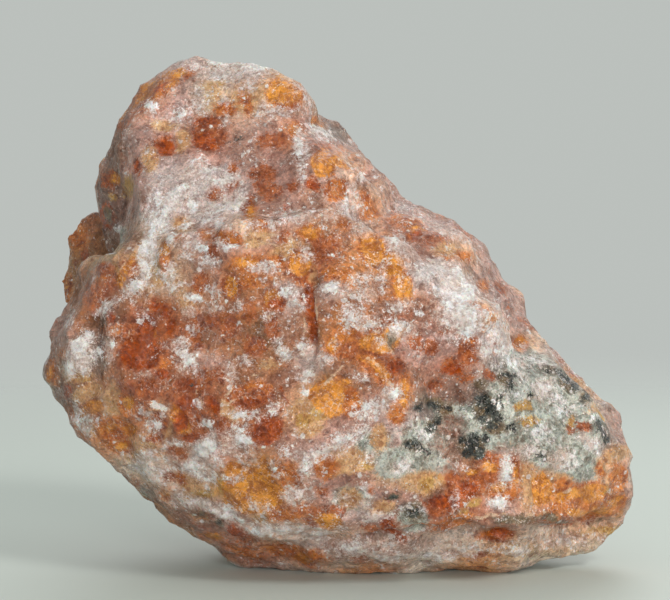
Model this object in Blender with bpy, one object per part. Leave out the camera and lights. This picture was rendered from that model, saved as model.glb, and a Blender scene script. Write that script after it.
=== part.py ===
"""A piece of rough orange calcite, broken out of a vein, about 45 mm wide.

The stone is one solid. It is made in the order in which it came about: blocks that
broke along flat faces are joined, hollows and ledges are worn into the mass, and the
skin is then broken into crystal grains, each with a small flat face of its own.

Corners are in millimetres: x to the right and z up as the stone is shown, y away from
the viewer. The origin is under the middle of the stone, on the surface that it rests on.
"""

import math

import bmesh
import bpy
import numpy as np
from mathutils import Vector, noise

MM = 0.001

# Driving dimensions, in millimetres
SKIN = 0.55  # Spacing of the points that the skin is worked with
ROUNDING = 7  # Passes that take the sharpness off broken edges
TRIANGLES = 8600
FLAT_TRUE = 0.06  # Skin this near the surface that the stone rests on is put on it

# Grains of the skin: size, lean of their faces as a slope, and step from one to the next
GRAINS = (
    (9.0, 0.16, 0.20),
    (4.6, 0.15, 0.12),
    (2.6, 0.12, 0.06),
)
DISH = 1.3  # How much a grain's face is dished
WANDER = (3.0, 0.9)  # How far apart, and how strongly, ledges and creases turn
GRAIN_CORNER = (-40.0, -40.0, -50.0)
GRAIN_SEED = 18

# The blocks, each the hull of its corners
BLOCKS = {
    # Crown of the stone, from its rounded top down to the waist
    "upper": [
        (-11.9, 3, 38.6), (-10.3, 4, 39.0), (-6.6, 3, 38.8), (-15.2, 4, 36.8), (-17.1, 4, 34.5),
        (-17.0, 5, 31.4), (-18.2, 6, 28.0), (-14.9, -1.4, 33.4), (-13.6, -6, 26.2), (-15.4, -6.6, 22.0),
        (-6.0, -2.6, 34.3), (-1.2, 3.4, 33.2), (3.0, 5, 30.8), (4.8, 6, 27.7), (-1.0, -6.6, 29.2),
        (1.6, -3.4, 29.8), (-6, -9, 25.5), (-11, 13, 34), (-4, 12, 34.5), (3, 13, 27), (-16, 14, 25),
        (-14, 12, 16), (8, 12, 16), (6, -7, 18), (-12, -8, 14),
    ],
    # Pale block on the right of the crown
    "cap": [
        (-8.0, 3.5, 39.1), (-6.6, 2.8, 39.3), (-5.2, 2.2, 39.0), (-3.5, 2, 37.3), (-1.5, 2, 36.1),
        (-1.0, 3.0, 34.4), (-2.4, -1.6, 34.6), (-6.4, -2.0, 34.8), (-7.0, 0.0, 37.4), (-4.4, -0.1, 36.9),
        (-8, 8, 36.6), (-4, 7, 35.6), (-5, 2, 31),
    ],
    # Right shoulder, behind a waist in the outline
    "shoulder": [
        (5.9, 5, 27.4), (8.9, 5, 26.5), (10.3, 5, 25.6), (11.6, 5, 23.4), (13.7, 5, 20.4), (4.8, 3, 26.8),
        (3.5, -5, 26.8), (8.5, -7, 24.0), (10.6, -8.3, 19.4), (6, 12, 22), (12, 12, 16), (2, 10, 14),
        (4, -9, 16), (16, 4, 15),
    ],
    # The lower front, which leans out over the foot
    "front": [
        (-13.4, -7, 24.8), (-7.2, -10.5, 26.2), (-0.7, -9.4, 28.6), (3.0, -8.6, 26), (8.5, -8.5, 23.0),
        (9.9, -10, 19.4), (-15.0, -7.5, 20.8), (-15.6, -9.5, 14.5), (-10, -13, 14.3), (0.8, -13.2, 20.5),
        (-0.7, -14.0, 9.4), (-6.5, -12.4, 6.9), (-14.6, -7.8, 8.2), (-11.9, -7.8, 5.7), (-3.6, -9.4, 3.1),
        (-9, -7.8, 4.4), (2.5, -11, 3.6), (8.0, -12, 5.1), (11.8, -9.8, 10.9), (15.0, -6, 14.9),
        (14.7, -9.0, 7.9), (-12, 6, 8), (12, 8, 8), (-10, 8, 20), (10, 8, 18),
    ],
    # Lower left lobe
    "lobe": [
        (-20.4, -2, 12.2), (-22.2, -1, 13.7), (-23.1, -1, 14.9), (-22.2, -0.5, 17.2), (-21.9, 0.5, 18.8),
        (-20.4, -5.3, 19.0), (-20.4, -6.2, 14.5), (-17.9, -3, 8.8), (-14.6, -2.5, 5.3), (-17.6, -7.6, 11.8),
        (-15.6, -8.2, 19.5), (-19.8, 2, 22.2), (-18.2, -2, 22.8), (-16.8, -5, 24.1), (-15.0, -6.5, 24.9),
        (-15, 8, 22), (-12, 10, 7), (-18.5, 8.5, 16), (-12, -4, 12), (-14.6, -8.6, 13.0),
    ],
    # Lump behind the left side
    "back_lump": [
        (-22.6, 10, 19.2), (-23.5, 11, 20.4), (-22.8, 12, 22), (-22.3, 11, 23.9), (-22.1, 11, 25.0),
        (-19.8, 10, 27.1), (-18, 15, 25), (-18.5, 16, 19), (-12, 15, 26), (-12, 8, 18), (-19.5, 8, 16.5),
        (-14, 6, 26),
    ],
    # Right end, whose underside is a ledge
    "right_end": [
        (22.5, 1, 6.6), (22.4, 1, 5.2), (21.2, 3, 9.2), (20.2, 4, 12.6), (16.6, 5, 16.4), (13.4, 5, 19.7),
        (21.6, -1.0, 4.6), (19.6, -3.8, 4.5), (14.7, -8.2, 4.4), (8.0, -11.5, 5.0), (14.7, -9.4, 6.4),
        (19.6, -4.6, 7.4), (19.8, -2.8, 10.5), (15.0, -5.6, 15.5), (11, -8, 16), (8, 8, 18),
        (10, 8, 5), (16, 9, 9), (20, 6, 6), (4, -4, 6),
    ],
    # Foot, with the flat spot that the stone rests on
    "foot": [
        (-7.0, -1.5, -0.3), (-1.5, -4.0, -0.3), (8.5, -3.6, -0.3), (14.8, -2.0, -0.3), (12, 6, -0.3),
        (4, 11, -0.3), (-5, 9, -0.3), (-9.0, 0, 0.9), (-12.1, -1, 3.0), (-14.7, -2, 5.3), (-18.0, -2.5, 8.8),
        (-12, 9, 6), (18.6, -1, 0.9), (20.2, 0.0, 2.0), (21.5, 1, 2.8), (22.2, 1.5, 4.2), (17, 7, 5),
        (6, 13, 8), (-6, 12, 8), (-10, -6, 5), (2, -8.5, 4), (10, -8.5, 4), (16, -5.5, 4),
    ],
    # The side that faces away
    "back": [
        (-13, 13, 30), (-5, 15.0, 29), (2, 16.0, 22), (-12, 17.0, 20), (-3, 17.4, 14), (9, 14.5, 14),
        (-13, 14.5, 9), (2, 15, 5.5), (13, 11.5, 8), (4, 10, 28), (-16.5, 11, 14), (-18, 6, 13), (14, 8, 15),
        (17.5, 8, 8), (-14, 7, 7), (0, 0, 12), (-4, 3, 32),
    ],
}

# Hollows: middle, half sizes, and turn about the line of sight in degrees
HOLLOWS = {
    "upper_face": ((-6.5, -14.2, 30.2), (7.2, 7.0, 4.4), -20),
    "back_scoop": ((6.0, 19.0, 19.0), (9.0, 6.5, 7.0), 25),
    "back_foot": ((-8.0, 18.0, 5.0), (9.0, 7.0, 5.0), -15),
}

# Ledges, creases and swellings of the skin: path, half width, and height, below 0 for a crease
RELIEF = {
    # Upper half: a ridge on either side of the dished face, and one down the right edge
    "left_ridge": (
        [(-15.4, 0.0, 30.9), (-14.3, -3.2, 28.9), (-13.5, -4.6, 27.3), (-14.1, -5.2, 25.3), (-15.1, -6.6, 22.6)],
        1.7, 0.6,
    ),
    "brow": ([(-7.4, -9.8, 25.8), (-5.1, -7.0, 26.8), (-2.9, -5.7, 27.9), (-0.7, -3.2, 29.5), (0.5, -1, 30.3)], 1.6, 0.5),
    "right_ridge": ([(-1.6, 3.0, 33.5), (2.0, 2.1, 30.5), (4.6, -2.2, 27.0), (6.8, -4.0, 25.6), (9.8, -1.9, 23.4)], 1.5, 0.4),
    "shoulder_ridge": ([(8.3, -6.7, 23.8), (9.2, -8.1, 21.8), (9.9, -10.0, 20.0), (11.9, -6.8, 18.6)], 2.0, 0.7),
    "left_hollow": ([(-17.6, 1.6, 28.2), (-17.6, 1.0, 25.5)], 2.8, -0.6),
    # Middle: an upright step, a ledge under it, and a hollow in the grey rock
    "step_crease": ([(-2.0, -12.3, 22.9), (-2.0, -13.7, 18.2)], 0.9, -0.8),
    "step_edge": ([(-1.0, -12.4, 22.8), (-1.0, -13.4, 20.1), (-0.9, -14.0, 17.7)], 1.3, 0.4),
    "ledge": ([(-8.2, -13.3, 16.3), (-5.5, -13.6, 16.0), (-2.7, -13.7, 16.4)], 2.0, -0.7),
    "grey_hollow": ([(7.3, -11.4, 14.6), (8.9, -11.2, 12.4)], 3.4, -0.9),
    "grey_swell": ([(13.2, -7.2, 14.0), (14.6, -7.6, 10.6)], 3.0, 0.6),
    # Left lobe
    "lobe_groove": ([(-15.9, -6.3, 21.4), (-17.3, -6.6, 19.6), (-17.1, -6.8, 17.3), (-17.8, -6.6, 15.2)], 1.7, -1.1),
    "lobe_ledge": ([(-19.8, 0.1, 21.7), (-18.3, -2.3, 23.2), (-17.0, -4.0, 24.2), (-15.2, -5.6, 24.9)], 1.8, 0.3),
    "lobe_crust": ([(-19.5, -6.1, 17.6), (-19.4, -5.9, 14.6)], 2.0, 0.4),
    # Lower edge: a lip on the left and a longer one on the right, each over a crease
    "left_lip": ([(-13.5, -4.6, 5.4), (-10.2, -8.6, 5.3), (-7.4, -8.0, 4.2), (-4.4, -8.0, 3.0), (-2.4, -7.6, 2.2)], 1.6, 0.6),
    "right_lip": ([(4.4, -11.8, 4.1), (8.1, -11.7, 4.8), (11.8, -10.1, 5.1), (16.4, -7.2, 5.0), (20.8, -1.4, 4.4)], 1.4, 0.5),
    "right_crease": ([(6.7, -6.9, 2.9), (9.7, -8.2, 3.6), (13.4, -7.4, 3.8), (17.3, -4.1, 3.7), (20.7, -0.4, 3.1)], 1.5, -0.9),
    "pocket": ([(10.6, -7.6, 3.1), (12.6, -7.0, 3.1)], 1.6, -0.8),
    "amber_hollow": ([(-7.2, -12.8, 9.4), (-6.1, -12.1, 7.0)], 2.6, -0.5),
    "low_swell": ([(-0.7, -11.4, 5.4), (4.4, -12.6, 6.7)], 2.6, 0.4),
    "foot_swell": ([(8.0, -5.0, 1.2), (13.0, -4.4, 1.3), (17.5, -1.8, 1.5)], 1.8, 0.5),
}


def clear_scene():
    """Removes whatever the file was opened with."""
    for obj in list(bpy.data.objects):
        bpy.data.objects.remove(obj, do_unlink=True)


def hull(name, corners):
    """The block that these corners span."""
    bm = bmesh.new()
    for corner in corners:
        bm.verts.new(Vector(corner) * MM)
    made = bmesh.ops.convex_hull(bm, input=bm.verts[:])
    spare = {e for e in made["geom_interior"] + made["geom_unused"] if isinstance(e, bmesh.types.BMVert)}
    bmesh.ops.delete(bm, geom=list(spare), context="VERTS")
    bmesh.ops.recalc_face_normals(bm, faces=bm.faces[:])
    return object_of(bm, name)


def ellipsoid(name, middle, half, turn):
    """A smooth cutter for a hollow."""
    bm = bmesh.new()
    bmesh.ops.create_icosphere(bm, subdivisions=4, radius=MM)
    obj = object_of(bm, name)
    obj.location = Vector(middle) * MM
    obj.scale = half
    obj.rotation_euler = (0, math.radians(turn), 0)
    return obj


def object_of(bm, name):
    mesh = bpy.data.meshes.new(name)
    bm.to_mesh(mesh)
    bm.free()
    return bpy.data.objects.new(name, mesh)


def helpers(title, objects):
    """Keeps helper solids in a collection that isn't part of the stone."""
    collection = bpy.data.collections.new(title)
    bpy.context.scene.collection.children.link(collection)
    for obj in objects:
        obj.hide_render = True
        obj.display_type = "WIRE"
        collection.objects.link(obj)
    return collection


def boolean(obj, operation, collection):
    modifier = obj.modifiers.new(operation.title(), "BOOLEAN")
    modifier.operation = operation
    modifier.operand_type = "COLLECTION"
    modifier.collection = collection
    modifier.solver = "EXACT"


def applied(obj, name):
    """The mesh of the object with its modifiers applied. The object itself goes."""
    graph = bpy.context.evaluated_depsgraph_get()
    graph.update()
    mesh = bpy.data.meshes.new_from_object(obj.evaluated_get(graph), depsgraph=graph)
    mesh.name = name
    bpy.data.objects.remove(obj)
    return mesh


def rough_block():
    """The blocks in one, with the hollows taken out, as an even mesh."""
    names = list(BLOCKS)
    stone = hull(names[0], BLOCKS[names[0]])
    bpy.context.scene.collection.objects.link(stone)
    lumps = helpers("lumps", [hull(n, BLOCKS[n]) for n in names[1:]])
    hollows = helpers("hollows", [ellipsoid(n, *HOLLOWS[n]) for n in HOLLOWS])
    boolean(stone, "UNION", lumps)
    boolean(stone, "DIFFERENCE", hollows)
    remesh = stone.modifiers.new("Even", "REMESH")
    remesh.mode = "VOXEL"
    remesh.voxel_size = SKIN * MM
    smooth = stone.modifiers.new("Rounded", "SMOOTH")
    smooth.factor = 0.5
    smooth.iterations = ROUNDING
    return applied(stone, "block")


def arrays(mesh):
    """Points of the mesh in millimetres, and the way that the skin faces at each."""
    points = np.empty(len(mesh.vertices) * 3)
    mesh.vertices.foreach_get("co", points)
    normals = np.empty(len(mesh.vertices) * 3)
    mesh.vertices.foreach_get("normal", normals)
    return points.reshape(-1, 3) / MM, normals.reshape(-1, 3)


def put_points(mesh, points):
    mesh.vertices.foreach_set("co", (points * MM).ravel())
    mesh.update()


def grains(points, size, lean, step, seed):
    """Height of a skin broken into grains, each a flat face that leans its own way."""
    low = np.array(GRAIN_CORNER)
    counts = np.ceil(-2 * low / size).astype(int)
    dice = np.random.default_rng(seed)
    middles = dice.uniform(0.1, 0.9, (*counts, 3))
    leans = dice.uniform(-lean, lean, (*counts, 3))
    steps = dice.uniform(-step, step, counts)
    cell = np.floor((points - low) / size).astype(int)
    lowest = np.full(len(points), np.inf)
    for shift in np.ndindex(5, 5, 5):
        i, j, k = np.clip(cell + shift - 2, 0, counts - 1).T
        away = points - (low + size * (np.stack([i, j, k], axis=1) + middles[i, j, k]))
        face = steps[i, j, k] + (leans[i, j, k] * away).sum(axis=1)
        lowest = np.minimum(lowest, face + DISH * lean / size * (away**2).sum(axis=1))
    return lowest - lowest.mean()


def away_from(points, path):
    """Distance of each point from a path of straight runs."""
    found = np.full(len(points), np.inf)
    for start, end in zip(path[:-1], path[1:]):
        start, run = np.array(start, float), np.subtract(end, start)
        along = np.clip((points - start) @ run / (run @ run), 0, 1)
        found = np.minimum(found, np.linalg.norm(points - start - along[:, None] * run, axis=1))
    return found


def wander(points):
    """A smooth drift, so that no ledge or crease runs straight."""
    drift = [noise.noise_vector(Vector(p / WANDER[0])) for p in points]
    return WANDER[1] * np.array(drift)


def weather(mesh):
    """Works the relief and the grains into the skin, and wears the flat spot."""
    points, normals = arrays(mesh)
    height = np.zeros(len(points))
    strayed = points + wander(points)
    for path, width, depth in RELIEF.values():
        near = np.clip(1 - away_from(strayed, path) / width, 0, 1)
        height += depth * near**2 * (3 - 2 * near)
    points += normals * height[:, None]
    height = np.zeros(len(points))
    for number, (size, lean, step) in enumerate(GRAINS):
        height += grains(points, size, lean, step, GRAIN_SEED + number)
    points += normals * height[:, None]
    points[:, 2] = np.maximum(points[:, 2], 0)
    put_points(mesh, points)


def settle(mesh):
    """Trues the flat spot and moves the middle of the stone's box over the origin."""
    points, _ = arrays(mesh)
    points[np.abs(points[:, 2]) < FLAT_TRUE, 2] = 0
    low, high = points.min(axis=0), points.max(axis=0)
    points[:, :2] -= ((low + high) / 2)[:2]
    put_points(mesh, points)


def orange_calcite():
    material = bpy.data.materials.new("orange_calcite")
    material.use_nodes = True
    shader = material.node_tree.nodes["Principled BSDF"]
    shader.inputs["Base Color"].default_value = (0.55, 0.25, 0.13, 1)
    shader.inputs["Roughness"].default_value = 0.45
    shader.inputs["IOR"].default_value = 1.6
    return material


def main():
    clear_scene()
    mesh = rough_block()
    weather(mesh)
    full = bpy.data.objects.new("full", mesh)
    bpy.context.scene.collection.objects.link(full)
    decimate = full.modifiers.new("Lighter", "DECIMATE")
    decimate.ratio = TRIANGLES / (2 * len(mesh.polygons))
    mesh = applied(full, "calcite")
    settle(mesh)
    obj = bpy.data.objects.new("calcite", mesh)
    obj.data.materials.append(orange_calcite())
    bpy.context.scene.collection.objects.link(obj)


main()
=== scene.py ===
"""Looks of the rough orange calcite: its broken skin, its colours and its light.

Sizes are in millimetres. Marks on the side that is shown are placed by the pixel where the
photograph has them, in its frame of 670 by 600, and lie on the stone under that pixel.
"""

import math
from collections import namedtuple

import bmesh
import bpy
import numpy as np
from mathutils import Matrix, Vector, noise


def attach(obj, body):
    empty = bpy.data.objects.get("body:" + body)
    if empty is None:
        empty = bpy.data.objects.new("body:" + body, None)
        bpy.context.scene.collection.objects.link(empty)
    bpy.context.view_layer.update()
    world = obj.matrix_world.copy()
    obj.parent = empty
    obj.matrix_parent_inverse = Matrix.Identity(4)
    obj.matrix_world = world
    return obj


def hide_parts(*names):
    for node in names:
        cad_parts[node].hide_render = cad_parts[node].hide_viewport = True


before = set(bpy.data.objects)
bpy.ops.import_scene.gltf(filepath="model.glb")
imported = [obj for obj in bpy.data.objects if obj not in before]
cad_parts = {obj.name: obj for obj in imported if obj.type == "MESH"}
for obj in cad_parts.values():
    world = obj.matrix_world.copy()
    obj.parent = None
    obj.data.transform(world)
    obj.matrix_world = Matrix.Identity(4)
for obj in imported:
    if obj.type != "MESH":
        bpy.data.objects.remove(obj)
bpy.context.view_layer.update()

MM = 0.001

# The view, in millimetres and degrees
LOOK_AT = Vector((-0.35, -1.67, 20.4))
DISTANCE = 240.0
ELEVATION = 5.0
PICTURE = (670, 600)
FOCAL = 3164.0  # In pixels
SENSOR = 36.0
PIXEL = DISTANCE / FOCAL  # Millimetres that a pixel shows at the stone

# The skin, in millimetres
VOXEL = 0.395
SOFTENING = 5

# Finer grains than those of the solid: size, lean of their faces as a slope, step between them
FINE_GRAINS = ((1.9, 0.15, 0.04), (0.9, 0.19, 0.03))
DISH = 1.3
GRAIN_CORNER = (-40.0, -40.0, -50.0)
GRAIN_SEED = 40


# The view
def view_axes():
    tilt = math.radians(ELEVATION)
    away = Vector((0, math.cos(tilt), -math.sin(tilt)))
    right = Vector((1, 0, 0))
    return right, right.cross(away), away


def as_seen(points):
    """Pixel of the picture where each point is seen, and how far it is from the middle of the view."""
    right, up, away = (np.array(axis) for axis in view_axes())
    eye = np.array(LOOK_AT) - DISTANCE * away
    rays = points - eye
    depth = rays @ away
    x = PICTURE[0] / 2 + FOCAL * (rays @ right) / depth
    y = PICTURE[1] / 2 - FOCAL * (rays @ up) / depth
    return np.stack([x, y], axis=1), depth - DISTANCE


def add_camera():
    camera = bpy.data.objects.new("camera", bpy.data.cameras.new("camera"))
    bpy.context.scene.collection.objects.link(camera)
    right, up, away = view_axes()
    camera.location = (LOOK_AT - DISTANCE * away) * MM
    camera.rotation_euler = (math.radians(90 - ELEVATION), 0, 0)
    camera.data.sensor_width = SENSOR
    camera.data.lens = FOCAL * SENSOR / PICTURE[0]
    camera.data.clip_start = 0.01
    bpy.context.scene.camera = camera


# The skin
def applied(obj):
    """The mesh of the object with its modifiers applied. The object itself goes."""
    graph = bpy.context.evaluated_depsgraph_get()
    graph.update()
    mesh = bpy.data.meshes.new_from_object(obj.evaluated_get(graph), depsgraph=graph)
    bpy.data.objects.remove(obj)
    return mesh


def even_skin(node):
    """A copy of the solid's skin with points evenly over it, and its facets softened."""
    bm = bmesh.new()
    bm.from_mesh(node.data)
    bmesh.ops.remove_doubles(bm, verts=bm.verts[:], dist=1e-6)
    mesh = bpy.data.meshes.new("skin")
    bm.to_mesh(mesh)
    bm.free()
    obj = bpy.data.objects.new("skin", mesh)
    bpy.context.scene.collection.objects.link(obj)
    remesh = obj.modifiers.new("Even", "REMESH")
    remesh.mode = "VOXEL"
    remesh.voxel_size = VOXEL * MM
    smooth = obj.modifiers.new("Soft", "SMOOTH")
    smooth.factor = 0.5
    smooth.iterations = SOFTENING
    return applied(obj)


def arrays(mesh):
    """Points of the mesh in millimetres, and the way that the skin faces at each."""
    points = np.empty(len(mesh.vertices) * 3)
    mesh.vertices.foreach_get("co", points)
    normals = np.empty(len(mesh.vertices) * 3)
    mesh.vertices.foreach_get("normal", normals)
    return points.reshape(-1, 3) / MM, normals.reshape(-1, 3)


def shown(points, normals):
    """How squarely the skin faces the viewer, from 0 at its edge to 1."""
    right, up, away = (np.array(axis) for axis in view_axes())
    eye = np.array(LOOK_AT) - DISTANCE * away
    rays = points - eye
    rays /= np.linalg.norm(rays, axis=1)[:, None]
    return np.clip(-(rays * normals).sum(axis=1), 0, 1)


def finer_where_shown(mesh):
    """Halves the spacing of the points on the side that the photograph shows."""
    points, normals = arrays(mesh)
    facing = shown(points, normals) > 0.12
    bm = bmesh.new()
    bm.from_mesh(mesh)
    bm.verts.ensure_lookup_table()
    edges = [e for e in bm.edges if facing[e.verts[0].index] and facing[e.verts[1].index]]
    bmesh.ops.subdivide_edges(bm, edges=edges, cuts=1, use_grid_fill=True)
    bmesh.ops.smooth_vert(bm, verts=bm.verts[:], factor=0.5, use_axis_x=True, use_axis_y=True, use_axis_z=True)
    bm.to_mesh(mesh)
    bm.free()
    mesh.update()


def grains(points, size, lean, step, seed):
    """Height of a skin broken into grains, each a flat face that leans its own way."""
    low = np.array(GRAIN_CORNER)
    counts = np.ceil(-2 * low / size).astype(int)
    dice = np.random.default_rng(seed)
    middles = dice.uniform(0.1, 0.9, (*counts, 3))
    leans = dice.uniform(-lean, lean, (*counts, 3))
    steps = dice.uniform(-step, step, counts)
    cell = np.floor((points - low) / size).astype(int)
    lowest = np.full(len(points), np.inf)
    for shift in np.ndindex(5, 5, 5):
        i, j, k = np.clip(cell + shift - 2, 0, counts - 1).T
        away = points - (low + size * (np.stack([i, j, k], axis=1) + middles[i, j, k]))
        face = steps[i, j, k] + (leans[i, j, k] * away).sum(axis=1)
        lowest = np.minimum(lowest, face + DISH * lean / size * (away**2).sum(axis=1))
    return lowest - lowest.mean()


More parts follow.
